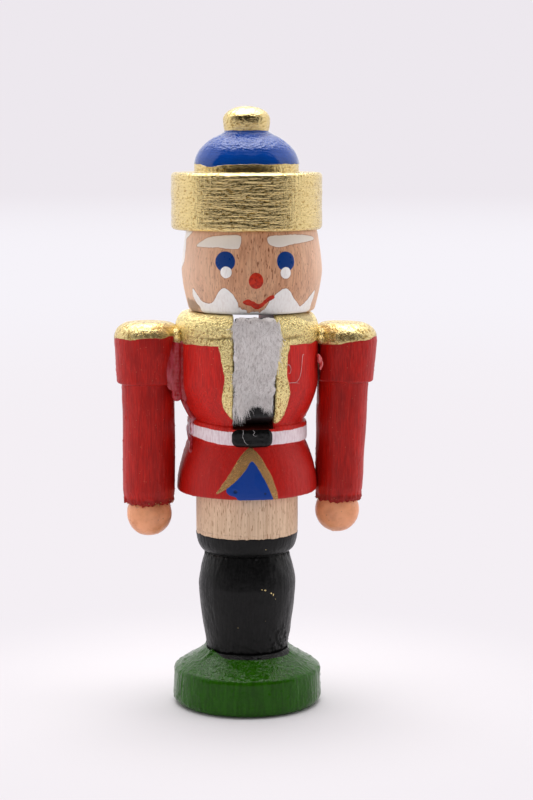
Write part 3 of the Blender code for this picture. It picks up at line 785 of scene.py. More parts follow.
def make_coat():
    axis = axis_of("coat_body")
    profile = COLLAR_PROFILE + SKIRT_PROFILE
    piece = turned("coat_paint", profile, axis, sides=400, pitch=0.2)
    level = points_of(piece)
    swell(piece, coat_relief(level, axis, coat_paint(level, axis)))
    points = points_of(piece)
    points[:, 2] += belt_climb(points, axis)
    put_points(piece, points)
    outer = np.array([p for p in profile if p[0] > 5][::-1])
    cutter = slot_cutter(axis, outer)
    modify(piece, "BOOLEAN", operation="DIFFERENCE", solver="EXACT", object=cutter)
    applied(piece)
    bpy.data.objects.remove(cutter, do_unlink=True)
    points = points_of(piece)
    points[:, 2] -= belt_climb(points, axis)
    tag(piece, **coat_paint(points, axis))
    piece.data.materials.clear()
    rides(piece, "figure", coat_material(), "red_paint", "coat_body")
    # The slot walls are red-brown wood made much darker than the outside: partly their own colour and
    # partly painted shade in the narrow slot.
    wall = Finish("slot_wall")
    lay_wood(wall, tone(120, 40, 30), tone(60, 16, 12))
    piece.data.materials.append(wall.done(0.03))
    inner = SLOT_HALF + 0.02
    for face in piece.data.polygons:
        x, y, z = face.center / MM
        above_floor = z - GROUND > SLOT_FLOOR - 0.01
        face.material_index = int(abs(x - axis[0]) < inner and above_floor and abs(y) < 11.5)
    piece.data.shade_smooth()
    piece.data.set_sharp_from_angle(angle=math.radians(50))


# ---------------------------------------------------------------- head

HEAD_SIDE = 11.3         # radius at which angles on the head are turned into mm
HEAD_TOP = 79.25
CROWN = (10.72, 78.7)
CHEEK = (11.5, 72.4)
CHIN = (10.38, 66.35)
HEAD_BOTTOM = 65.9

# Painted outlines, as (angle, height).
FACE = {
    "brow_right": [
        (-60, 76.8), (-45, 78.2), (-31, 78.55), (-18, 78.6), (-15.6, 77.9), (-17, 76.8), (-21, 76.4),
        (-35, 76.65), (-48, 76.6)],
    "brow_left": [
        (8, 78.4), (18, 78.55), (32, 78.6), (47, 78.4), (61, 77.8), (46, 77.4), (31, 77.15), (17, 76.75),
        (9, 77.05), (6.8, 77.7)],
    "moustache": [
        (-65, 69.9), (-58, 68.4), (-53, 67.75), (-46, 67.6), (-41.5, 67.95), (-36.5, 69.2), (-32, 70.05),
        (-28.5, 70.15), (-24, 69.5), (-20.5, 68.6), (-17.7, 67.5), (-15.5, 66.85), (-10, 66.6),
        (-3, 66.4), (3, 66.65), (6.5, 67.5), (10.5, 68.6), (16, 69.6), (21, 70.1), (25, 69.9), (30, 68.8),
        (36, 67.7),
        (40.5, 67.05), (45, 67.5), (51, 68.3), (58.5, 69.4), (60.5, 68.8), (58, 67.2), (57, 66.1),
        (45, 65.6), (0, 65.4), (-50, 65.6), (-58, 66.2), (-60, 67.0), (-64, 67.6), (-67, 68.7)],
    "mouth": [
        (-14.3, 68.0), (-11, 68.45), (-7, 68.3), (-3.4, 67.85), (0, 67.75), (4, 68.35), (8, 68.95),
        (11.4, 69.1), (12.2, 68.6), (8.4, 68.15), (4, 67.45), (0.4, 66.95), (-3, 66.85), (-7.4, 67.3),
        (-12, 67.5)],
    "hair": [
        (88, 79.5), (91, 77), (95, 74.5), (110, 72.6), (130, 71.6), (150, 72.2), (180, 71.4), (210, 72.0),
        (235, 71.2), (258, 72.4), (277, 73.6), (280, 75.8), (277.5, 77.5), (276, 79.5)],
}


def make_head():
    axis = axis_of("head")
    profile = [
        (0, HEAD_TOP), (10.6, HEAD_TOP), (10.72, 78.8), *flank(CROWN, CHEEK, 1.5), CHEEK,
        *flank(CHIN, CHEEK, 1.5)[::-1], (10.2, 66.05), (9.9, HEAD_BOTTOM), (0, HEAD_BOTTOM)]
    piece = turned("painted_head", profile, axis, sides=400, pitch=0.18)
    points = points_of(piece)
    side = Side(points, axis, HEAD_SIDE)
    ragged = 0.08 * side.wave((0.5, 0.5, 1.2), 51)
    brows = np.maximum(side.patch(FACE["brow_right"]), side.patch(FACE["brow_left"]))
    dots = np.maximum(side.oval(-27.6, 72.75, 0.95, 0.92), side.oval(21.4, 72.62, 0.9, 0.92))
    beard_line = side.patch(FACE["moustache"])
    gaps = smooth_step(noise(points, (0.3, 0.3, 0.8), 52), 0.25, 0.5) * smooth_step(
        side.oval(-8, 67.0, 3.6, 1.0), 0.0, 0.7) * 1.5
    hair = side.patch(FACE["hair"], turn=180.0)
    white = np.max([brows, dots, beard_line - gaps, hair], 0) + ragged
    eyes = np.maximum(side.oval(-28.8, 74.45, 1.70, 1.60), side.oval(22.0, 74.45, 1.60, 1.58))
    eyes = eyes + 0.04 * side.wave(0.8, 53)
    nose = side.oval(-3.3, 71.42, 1.14, 1.30) + 0.05 * side.wave(0.7, 54)
    red = np.maximum(nose, side.patch(FACE["mouth"]) + 0.10 * side.wave(0.45, 55))
    # A brown patch low on the head's side, where it meets the collar.
    stain = side.oval(-72, 66.9, 3.0, 1.0) + 0.35 * side.wave(0.7, 56)
    grain = noise(points, (0.3, 0.3, 5.0), 57) * 0.022 + rough(points, 5.0, 58) * 0.04
    paint = smooth_step(np.max([white, eyes, red], 0), -0.02, 0.12)
    blobs = smooth_step(dots, 0, 0.7) * 0.10 + smooth_step(nose, 0, 0.8) * 0.05
    blobs += smooth_step(eyes, 0, 0.6) * 0.03
    inner = smooth_step(side.height, HEAD_BOTTOM, 66.4) * smooth_step(79.0 - side.height, 0, 0.3)
    swell(piece, (grain * (1 - 0.6 * paint) + paint * 0.06 + blobs) * inner)
    # The last tag marks the head's sides, which are painted paler than its front: painted light.
    tag(piece, white=white, brows=brows, eyes=eyes, red=red, dots=dots, stain=stain,
        wash=smooth_step(np.abs(side.angle), 15, 80))
    head = Finish("face_paint")
    lay_wood(head, WOOD, WOOD_DARK)
    wash = head.grain((1.5, 1.5, 6.0), 2.0, 3.3)
    head.cover(head.level(wash, 0.4, 0.7, 0.0, 0.35), tone(222, 180, 146))
    # Painted light: the sides of the head are made paler than its front.
    head.cover(head.kept("wash"), tone(240, 208, 186), strength=0.55)
    head.cover(head.edge("white", 0.08, 0.3, 0.10, 4.0, 0.10), WOOD_DARK, strength=0.55)
    head.cover(head.edge("stain", 0.3, 0.6, 0.5), LOW_EDGE_BROWN, strength=0.7)
    chalk = head.grain((0.3, 0.3, 1.0), 4.0, 5.0)
    milk = head.mix(head.level(chalk, 0.4, 0.8), WHITE, tone(228, 220, 216))
    white_edge = head.edge("white", 0.07, 0.25, 0.06)
    eye_edge = head.edge("eyes", 0.03, 0.3)
    dot_edge = head.edge("dots", 0.05, 0.3)
    gloss = head.gloss(head.grain(0.8, 2.0, 9.0), 0.26, 0.42)
    head.cover(white_edge, milk, 0.38, 0.0, chalk)
    head.cover(head.edge("brows", 0.07, 0.25, 0.06), BROW_GREY, strength=0.85)
    head.cover(eye_edge, EYE_BLUE, gloss, 0.0, 0.5)
    head.cover(dot_edge, milk, gloss, 0.0, chalk)
    blotch = head.grain(0.5, 3.0, 6.0)
    lips = head.mix(head.level(blotch, 0.4, 0.7), LIP_RED, LIP_DEEP)
    head.cover(head.edge("red", 0.05, 0.3), lips, gloss, 0.0, blotch)
    rides(piece, "figure", head.done(0.035), "bare_beech", "head")


# ---------------------------------------------------------------- hat

KNOB_MIDDLE = 96.9
KNOB_SIZE = (3.85, 2.2)      # radius, and height above its middle
NECK_RADIUS = 3.6
DOME_FOOT = 89.4
DOME_SIZE = (8.55, 5.8)
BAND_RADIUS = 12.35
BAND_TOP = 88.42
BAND_BOTTOM = 79.15
BLUE_FOOT = 89.75
BLUE_TOP = 95.15


def make_hat():
    axis = axis_of("hat")
    neck_angle = math.degrees(math.acos(NECK_RADIUS / DOME_SIZE[0]))
    profile = [
        *arc((0, KNOB_MIDDLE), KNOB_SIZE, 90, 0, 12), (3.82, 96.4), (3.72, 95.6), (NECK_RADIUS, 95.15),
        (3.55, 94.9), *arc((0, DOME_FOOT), DOME_SIZE, neck_angle, 0, 14)[1:],
        *rounded([
            (DOME_SIZE[0], BAND_TOP, 0), (8.7, BAND_TOP, 0.1), (BAND_RADIUS, BAND_TOP, 0.7),
            (BAND_RADIUS, BAND_BOTTOM, 0.6), (0, BAND_BOTTOM, 0)])]
    piece = turned("hat_paint", profile, axis, sides=420, pitch=0.2)
    points = points_of(piece)
    side = Side(points, axis, 12.3)
    radius = np.hypot(points[:, 0] - axis[0], points[:, 1] - axis[1])
    foot = BLUE_FOOT - 0.38 * np.exp(-((side.angle + 50) / 14) ** 2)
    foot = foot + 0.10 * side.wave((1.1, 1.1, 60), 61) + 0.12 * side.wave((3.0, 3.0, 60), 62)
    upper = BLUE_TOP + 0.1 * side.wave((1.5, 1.5, 60), 63)
    blue = np.minimum(side.height - foot, upper - side.height)
    blue = np.minimum(blue, 9.5 - radius)
    painted = smooth_step(blue, -0.02, 0.12)
    band = smooth_step(radius, 11.6, 12.2)
    relief = rough(points, (2.5, 2.5, 1.2), 64) * 0.05 * band
    relief += noise(points, (1.2, 1.2, 0.35), 65) * 0.02 * band
    dome = np.clip(noise(points, (0.8, 0.8, 0.45), 66), -0.4, 1) * 0.05
    dome *= smooth_step(side.height, 91.6, 93.4)
    relief += painted * (0.06 + dome + 0.03 * rough(points, 1.8, 67))
    relief += (1 - painted) * (1 - band) * rough(points, 0.9, 68) * 0.035
    rim = smooth_step(side.height, 88.0, 88.5) * band
    relief += rim * noise(points, (1.4, 1.4, 3), 69) * 0.05
    swell(piece, relief * smooth_step(side.height, BAND_BOTTOM, 79.5))
    band_wall = band * smooth_step(88.3 - side.height, 0, 0.3)
    tag(piece, blue=blue, band=band_wall, crest=smooth_step(side.height, 91.4, 92.8))
    hat = Finish("hat_paint")
    band_share = hat.level(hat.kept("band"), 0.3, 0.8)
    crinkle = hat.grain((0.6, 0.6, 0.28), 5.0, 1.0, 0.6)
    ripple = hat.grain((4.0, 4.0, 0.42), 4.0, 4.0, 0.55)
    pleat = hat.grain((0.4, 0.4, 4.0), 3.0, 6.0, 0.55)
    plain = hat.calc("MULTIPLY", hat.grain(0.6, 5.0, 2.0, 0.6), 3.5)
    band_height = hat.calc("MULTIPLY_ADD", crinkle, 1.7, hat.calc("MULTIPLY", ripple, 3.2))
    band_height = hat.calc("MULTIPLY_ADD", pleat, 1.2, band_height)
    height = hat.mix(band_share, plain, band_height)
    # Painted shade: the band's gold turns dark in the low parts of the crinkle.
    tint = hat.mix(hat.level(crinkle, 0.34, 0.5), GOLD_IN_SHADE, GOLD)
    hat.ground(tint, 0.18, 1.0, height)
    cobalt = hat.grain((0.7, 0.7, 0.32), 3.0, 3.0)
    crumpled = hat.calc("MULTIPLY_ADD", hat.kept("crest"), 4.5, 0.6)
    crumpled = hat.calc("MULTIPLY", crumpled, cobalt)
    hat.cover(hat.edge("blue", 0.05), HAT_BLUE, hat.gloss(cobalt, 0.03, 0.07), 0.0, crumpled)
    rides(piece, "figure", hat.done(0.055, 0.5), "gold_paint", "hat")


# ---------------------------------------------------------------- arms and hands

SHOULDER = 57.5          # height of the shoulder dowel, about which an arm leans
ARM_LEAN = {"right": 0.0, "left": 1.8}
ARM_TOP = {"right": 64.2, "left": 63.75}
CAP = 5.5                # radius of the shoulder cap
CAP_BOTTOM = 54.15
SLEEVE_RADIUS = 4.32
SLEEVE_TAPER = {"right": 4.3, "left": 3.95}
SLEEVE_END = 34.2
CUFF = {"right": 3.95, "left": 3.65}
CAP_FLAT = 11.85         # where the caps are cut flat against the coat
CAP_GOLD_LINE = {"right": 61.8, "left": 60.8}
CAP_GOLD_TILT = {"right": 0.12, "left": 0.35}
HAND_MIDDLE = 32.25
HAND_RADIUS = 3.7


def arm_axis(side):
    low, high = box_mm(side + "_arm")
    x = low[0] + CAP if side == "right" else high[0] - CAP
    return np.array([x, (low[1] + high[1]) / 2, 0.0])


def leaned(points, side, axis):
    """Tips an arm's points about its shoulder dowel."""
    turn = math.radians(ARM_LEAN[side]) * (1 if side == "left" else -1)
    out = points.copy()
    rise = points[:, 2] - GROUND - SHOULDER
    across = points[:, 0] - axis[0]
    out[:, 0] = axis[0] + across * math.cos(turn) + rise * math.sin(turn)
    out[:, 2] = GROUND + SHOULDER + rise * math.cos(turn) - across * math.sin(turn)
    return out


def arm_material():
    arm = Finish("arm_paint")
    # The arms' red is the coat's red at 0.80 of its brightness, a shaded copy of the same paint: painted
    # shade.
    lay_red(arm, 0.80)
    arm.cover(arm.edge("gold", 0.12, 0.35), *gold_leaf(arm, 0.6))
    arm.cover(arm.edge("torn", 0.25, 0.3, 0.3), TORN_RED, 0.6, strength=0.5)
    return arm.done(0.04)


def make_arm(side, material):
    axis = arm_axis(side)
    seed = 70 if side == "right" else 90
    top = ARM_TOP[side]
    cap = CAP if side == "right" else CAP - 0.05
    profile = [
        (0, top), (1.4, top - 0.04), *arc((2.7, top - 2.8), (cap - 2.7, 2.7), 78, 0, 12),
        *rounded([
            (cap, 60.6, 0), (cap - 0.35, CAP_BOTTOM, 0.35), (SLEEVE_RADIUS, 53.95, 0.15),
            (SLEEVE_TAPER[side], 36.4, 3.0), (CUFF[side], SLEEVE_END, 0.4), (0, SLEEVE_END, 0)])]
    piece = turned(side + "_sleeve", profile, axis, sides=200, pitch=0.2)
    points = points_of(piece)
    wall = Side(points, axis, CAP)
    line = CAP_GOLD_LINE[side] + CAP_GOLD_TILT[side] * np.sin(np.radians(wall.angle)) * 2
    gold = wall.height - line + 0.22 * wall.wave((1.6, 1.6, 60), seed)
    gilt = smooth_step(gold, -0.02, 0.12)
    end = np.exp(-((wall.height - 34.5) / 0.8) ** 2)
    relief = rough(points, 3.5, seed + 1) * 0.06
    relief += noise(points, (0.35, 0.35, 4.0), seed + 2) * 0.03 * (1 - gilt)
    relief += np.clip(noise(points, 0.45, seed + 3) - 0.62, 0, 1) * 0.3 * (1 - gilt)
    relief += gilt * (0.06 + 0.025 * rough(points, 1.0, seed + 4))
    relief += end * (np.clip(rough(points, (0.45, 0.45, 0.6), seed + 5), -0.2, 1) * 0.30)
    swell(piece, relief)
    points = points_of(piece)
    fringe = smooth_step(35.2 - points[:, 2] + GROUND, 0, 0.9)
    points[:, 2] -= fringe * (0.1 + 0.32 * np.clip(noise(points, (0.8, 0.8, 40), seed + 6), -0.6, 1))
    points = leaned(points, side, axis)
    limit = CAP_FLAT + 0.05 * noise(points, 1.5, seed + 7)
    inner = np.maximum(points[:, 0], limit) if side == "left" else np.minimum(points[:, 0], -limit)
    near_cap = points[:, 2] - GROUND > 50
    points[:, 0] = np.where(near_cap, inner, points[:, 0])
    put_points(piece, points)
    tag(piece, gold=gold, torn=35.1 - wall.height)
    rides(piece, "figure", material, "red_paint", side + "_arm")


def make_burrs(side, material):
    """Torn wood and paint round the cuff's end."""
    axis = arm_axis(side)
    random = np.random.default_rng(5 if side == "right" else 8)
    paths = []
    for _ in range(70):
        angle = random.uniform(-math.pi, math.pi)
        out = np.array([math.sin(angle), -math.cos(angle), 0])
        along = np.array([math.cos(angle), math.sin(angle), 0]) * random.normal(0, 0.5)
        start = axis + out * (CUFF[side] + random.uniform(-0.15, 0.1))
        start = start + [0, 0, 34.3 + random.uniform(-0.25, 0.5)]
        lean = out * random.uniform(-0.1, 0.7) + along + np.array([0, 0, random.uniform(-0.9, 0.2)])
        reach = random.uniform(0.15, 0.5)
        bend = random.normal(0, 0.25, 3)
        part = np.linspace(0, 1, 5)[:, None]
        paths.append(start + lean * reach * part + bend * reach * part ** 2)
    burrs = threads(side + "_cuff_burrs", paths, random.uniform(0.08, 0.24, len(paths)), 5)
    put_points(burrs, leaned(points_of(burrs), side, axis))
    rides(burrs, "figure", material, "red_paint")


def make_hand(side, material):
    axis = axis_of(side + "_hand")
    profile = arc((0, HAND_MIDDLE), (HAND_RADIUS, HAND_RADIUS), 90, -90, 44)
    profile[0], profile[-1] = (0, 35.9), (0, HAND_MIDDLE - HAND_RADIUS)
    piece = turned(side + "_hand_paint", profile, axis, sides=120, pitch=0.25)
    points = points_of(piece)
    seed = 110 if side == "right" else 120
    pimples = np.clip(noise(points, 0.6, seed) - 0.6, 0, 1) * 0.2
    swell(piece, rough(points, 2.6, seed + 1) * 0.05 + pimples)
    rides(piece, "figure", material, "peach_paint", side + "_hand")


def hand_material():
    hand = Finish("peach_gloss")
    wash = hand.grain(2.0, 3.0, 2.0)
    ripple = hand.grain(0.8, 3.0, 4.0)
    tint = hand.mix(hand.level(wash, 0.35, 0.7), PEACH, tone(212, 140, 98))
    dirt = hand.specks(1.3, 0.12, 6.0)
    tint = hand.mix(hand.calc("MULTIPLY", dirt, 0.5), tint, tone(120, 60, 40))
    hand.ground(tint, hand.gloss(ripple, 0.26, 0.4), 0.0, ripple)
    return hand.done(0.05, 0.4)


# ---------------------------------------------------------------- jaw lever

LEVER_HALF = 3.02        # half the painted lever's width
LEVER_TAIL = 2.9         # how thick the lever is at its lower end


def lever_corners():
    """The lever's side view as (distance behind the axis, height, rounding)."""
    low, high = box_mm("jaw_lever")
    front, back, tip, top = low[1], high[1], low[2] - GROUND, high[2] - GROUND
    return [
        (front, top, 0.5), (front, 49.45, 0.8), (-6.4, 47.77, 0.4), (10.1, 47.6, 0.8),
        (back - 4.5, 38.0, 6.0), (back - LEVER_TAIL, tip, 1.2), (back, tip, 1.2),
        (back - 1.3, 38.0, 8.0), (back - 2.4, 53.2, 3.5), (-8.8, 55.2, 2.0), (-8.8, top, 0.5)]


def make_lever():
    corners = lever_corners()
    loop = rounded([corners[-1], *corners, corners[0]])[1:-1]
    plate = bmesh.new()
    flat = [plate.verts.new((-LEVER_HALF * MM, y * MM, (z + GROUND) * MM)) for y, z in loop]
    face = plate.faces.new(flat)
    grown = bmesh.ops.extrude_face_region(plate, geom=[face])["geom"]
    moved = [v for v in grown if isinstance(v, bmesh.types.BMVert)]
    bmesh.ops.translate(plate, verts=moved, vec=(2 * LEVER_HALF * MM, 0, 0))
    bmesh.ops.recalc_face_normals(plate, faces=plate.faces)
    mesh = bpy.data.meshes.new("painted_lever")
    plate.to_mesh(mesh)
    plate.free()
    piece = add_object("painted_lever", mesh)
    corner = math.radians(50)
    modify(piece, "BEVEL", width=0.25 * MM, segments=3, limit_method="ANGLE", angle_limit=corner)
    modify(piece, "REMESH", mode="VOXEL", voxel_size=0.2 * MM)
    modify(piece, "SMOOTH", iterations=3)
    applied(piece)
    piece.data.shade_smooth()
    points = points_of(piece)
    swell(piece, rough(points, 2.2, 131) * 0.04 + noise(points, (0.5, 0.5, 4.0), 132) * 0.02)
    paint = Finish("lever_paint")
    streak = paint.grain((0.35, 0.35, 3.0), 4.0, 2.0)
    bumps = paint.grain(0.5, 3.0, 5.0)
    tint = paint.mix(paint.level(streak, 0.35, 0.75), BLACK, tone(34, 33, 34))
    paint.ground(tint, paint.gloss(bumps, 0.34, 0.5), 0.0, paint.calc("ADD", streak, bumps))
    rides(piece, "jaw", paint.done(0.04), "black_paint", "jaw_lever")


# ---------------------------------------------------------------- beard and loose fibres

THREAD_COUNT = 5000
FRINGE_COUNT = 1000
ROOTS_FALL = 12.6        # how far below its top edge the beard's threads are rooted
LEFT_EDGE = 3.6          # distance of the beard's edge on the figure's right from its middle
EDGE_DEPTHS = [0, 2.8, 6.5, 10.3, 12.6, 15.7]
RIGHT_EDGE = [3.95, 4.0, 3.55, 3.15, 2.7, 2.45]
ARCH_ACROSS = [-3.5, -2.3, -1.2, 0.0, 1.2, 2.2, 2.8]
ARCH_DROP = [17.0, 16.6, 14.5, 13.9, 14.2, 15.3, 15.6]


def fur_material(name, pale, dark):
    """Pale threads in darker patches and locks, each thread with a shade of its own. The darker tones are
    partly the fur's own greys and partly painted shade between the threads, which cast no shadows.
    """
    fur = Finish(name)
    patch = fur.grain((1.1, 1.1, 1.6), 3.0, 3.0)
    lock = fur.grain((0.28, 0.28, 0.7), 3.0, 8.0)
    shade = fur.level(fur.kept("shade"), 0.45, 1.0, smooth=False)
    tint = fur.mix(shade, pale, dark)
    tint = fur.mix(fur.level(patch, 0.45, 0.75, 0.0, 0.4), tint, dark)
    tint = fur.mix(fur.level(lock, 0.50, 0.66, 0.0, 0.9), tint, tuple(0.85 * c for c in dark))
    # Painted shade under the chin and over the dark arch at the bottom.
    tint = fur.mix(fur.kept("dim"), tint, tuple(0.55 * c for c in dark))
    fur.ground(tint, fur.level(fur.kept("shade"), 0.0, 1.0, 0.55, 0.75), 0.0, 0.5)
    # Light passes from thread to thread, so the fur is shaded more like the surface it covers.
    own = fur.add("ShaderNodeNewGeometry").outputs["Normal"]
    pulled = {0: own, 1: (0.4,) * 3, 2: (0, -0.6, 0.05)}
    soft = fur.add("ShaderNodeVectorMath", pulled, operation="MULTIPLY_ADD").outputs[0]
    facing = fur.add("ShaderNodeVectorMath", {0: soft}, operation="NORMALIZE").outputs[0]
    fur.set("Normal", facing)
    return fur.done(0.02, 0.28, Sheen_Weight=1.0, Sheen_Roughness=0.4)


def make_beard():
    low, high = box_mm("beard")
    centre = (low + high) / 2
    back = high[1] + 0.1
    top = high[2] - GROUND
    lumps = []
    for row in range(7):
        z = top - 0.9 - row * 1.72
        narrow = 1.0 - 0.012 * row
        for x in (-2.1, 0.0, 2.1):
            sway = 0.25 * math.sin(row * 2.3 + x * 1.7)
            middle = (centre[0] + x * narrow - 0.05, back - 0.3 + 0.15 * sway, z)
            lumps.append((middle, (1.4, 0.58, 1.4)))

    def dim_at(points):
        """Painted shade on the fur: darker under the chin, where the head shades it, and over the dark
        arch at the bottom.
        """
        depth = top + GROUND - points[:, 2]
        across = np.abs(points[:, 0] - centre[0] - 0.3)
        chin = 0.24 * smooth_step(-depth, -6.0, -1.5)
        chin = chin * smooth_step(noise(points, (2.4, 2.4, 1.6), 145), -0.5, 0.4)
        arch = 0.40 * smooth_step(depth + 0.5 * noise(points, 0.8, 146), 11.0, 12.9)
        return np.clip(chin + arch * smooth_step(-across, -3.2, -1.8), 0, 1)

    core = blob("beard_felt", lumps, 0.2)
    points = points_of(core)
    swell(core, rough(points, (0.5, 0.5, 1.0), 141) * 0.15)
    tag(core, shade=np.full(len(core.data.vertices), 0.5), dim=dim_at(points))
    felt = fur_material("beard_felt", tone(246, 238, 236), tone(186, 173, 170))
    rides(core, "jaw", felt, "beard_fur", "beard")

    random = np.random.default_rng(21)
    paths, widths = [], []
    part = np.linspace(0, 1, 10)

    def curl(root, heading, length, amount, width):
        """A thread that wanders to both sides of its heading."""
        heading = heading / np.linalg.norm(heading)
        side = np.cross(heading, [0.0, 1.0, 0.0])
        side /= np.linalg.norm(side)
        turns = random.uniform(0.5, 1.9)
        phase = random.uniform(0, 2 * math.pi)
        wave = phase + part * turns * 2 * math.pi
        swing = (np.sin(wave) - math.sin(phase)) * amount
        dip = (np.cos(wave) - math.cos(phase)) * amount * 0.35
        path = root + np.outer(part * length, heading) + np.outer(swing, side)
        path[:, 1] = np.clip(path[:, 1] + dip, back - 1.85, back - 0.05)
        path[:, 2] = np.minimum(path[:, 2], top + 0.3)
        if len(paths) % 90:
            # Most threads turn back in at the beard's edges.
            low_side, high_side = edges_at(top - path[:, 2])
            over = np.maximum(path[:, 0] - high_side, 0) - np.maximum(low_side - path[:, 0], 0)
            span = (1.0, 1.5) if len(paths) % 4 else (0.2, 0.8)
            path[:, 0] -= over * random.uniform(*span)
        paths.append(path)
        widths.append(width)

    def edges_at(depth):
        """The beard's two edges at depths below its top edge."""
        right = np.interp(depth, EDGE_DEPTHS, RIGHT_EDGE)
        return centre[0] - np.full(len(depth), LEFT_EDGE), centre[0] + right

    def drop_at(x):
        """How far below its top edge the beard ends: it leaves a dark arch in the middle."""
        return np.interp(x, ARCH_ACROSS, ARCH_DROP)

    def field(root):
        """How the fur lies at a place: neighbouring threads lean alike."""
        spot = np.array([[root[0], 0.0, root[2]]])
        return 1.1 * noise(spot, 2.6, 143)[0] + 0.5 * noise(spot, 1.1, 144)[0]

    for number in range(THREAD_COUNT):
        x, z = random.uniform(-1, 1), random.uniform(0, 1)
        half = 3.62 - 0.42 * z
        bulge = 0.8 * math.sqrt(max(0.0, 1 - abs(x) ** 3)) + random.uniform(-0.25, 0.12)
        depth = z * ROOTS_FALL
        high_side = edges_at(np.array([depth]))[1]
        across = x * half if x < 0 else x * (high_side[0] - centre[0])
        root = np.array([centre[0] + across, back - 0.28 - bulge, top - 0.1 - depth])
        lean = field(root) + random.normal(0, 0.22)
        heading = np.array([math.sin(lean), random.normal(-0.02, 0.06), -math.cos(lean)])
        if number % 40:
            heading[0] -= 0.55 * x * abs(x) ** 3
        length = random.uniform(1.2, 3.2) * (1 - 0.2 * z)
        length = min(length, max(0.5, (drop_at(across) - depth) * random.uniform(0.75, 1.05)))
        curl(root, heading, length, random.uniform(0.04, 0.24), random.choice([0.05, 0.06, 0.08, 0.11]))
    for _ in range(FRINGE_COUNT):
        across = random.uniform(-3.4, 2.7)
        depth = 11.6 + random.uniform(0, 1.2)
        root = np.array([centre[0] + across, back - random.uniform(0.1, 1.1), top - depth])
        heading = np.array([random.normal(-0.02 * across, 0.16), random.normal(0, 0.08), -1.0])
        length = (drop_at(across) - depth) * random.uniform(0.3, 1.05)
        curl(root, heading, length, random.uniform(0.05, 0.3), random.choice([0.04, 0.05, 0.07]))
    strands = threads("beard_strands", paths, widths)
    tag(strands, dim=dim_at(points_of(strands)) * 0.6)
    # The threads cast no shadows; their darker tones paint the shade among them.
    strands.visible_shadow = False
    fur = fur_material("beard_fur", (0.99, 0.94, 0.93), (0.70, 0.63, 0.615))
    rides(strands, "jaw", fur, "beard_fur")


def path_through(stops, steps):
    """A soft curve through a few points, in mm."""
    stops = np.array(stops, float)
    known = np.linspace(0, 1, len(stops))
    wanted = np.linspace(0, 1, steps)
    line = np.stack([np.interp(wanted, known, stops[:, i]) for i in range(3)], 1)
    for _ in range(2):
        line[1:-1] = (line[:-2] + 2 * line[1:-1] + line[2:]) / 4
    return line


def on_coat(angle, height, lift):
    """A point on the coat's chest or belt."""
    profile = np.array([p for p in COLLAR_PROFILE + SKIRT_PROFILE if p[0] > 5][::-1])
    radius = float(np.interp(height, profile[:, 1], profile[:, 0])) + lift
    turn = math.radians(angle)
    return (radius * math.sin(turn), -radius * math.cos(turn), height)


def make_stray_fibres():
    """Loose fibres stuck to the chest and the belt."""
    chest = [
        [(44.5, 59.2), (43, 59.4), (42, 57.6), (40.5, 55.8), (37, 55.0), (33, 54.8)],
        [(28.5, 54.9), (33, 54.9), (39, 54.7)],
        [(26.5, 57.8), (28.5, 57.9), (30.5, 57.2), (29.5, 56.4), (27.5, 56.5)],
    ]
    belt = [
        [(-10, 47.4), (-9.6, 47.0), (-10.5, 46.2), (-8, 45.2), (-5, 44.9)],
        [(-1, 47.3), (1, 46.9), (-1.5, 46.6), (1.5, 46.3), (3, 46.4)],
    ]
    material = fur_material("stray_fibre", tone(240, 236, 236), tone(204, 196, 198))
    for place, lines, lift, width in (("chest", chest, 0.12, 0.055), ("belt", belt, 0.45, 0.05)):
        loose = [path_through([on_coat(*stop, lift) for stop in line], 18) for line in lines]
        piece = threads("stray_fibres_" + place, loose, [width] * len(loose), 5)
        rides(piece, "figure", material, "beard_fur")


# ---------------------------------------------------------------- glue and gold at the shoulders

WEB_LOOK = tone(176, 62, 74), tone(146, 24, 26), tone(220, 188, 200)
BEAD_LOOK = tone(240, 150, 154), tone(196, 50, 46), tone(240, 200, 200)


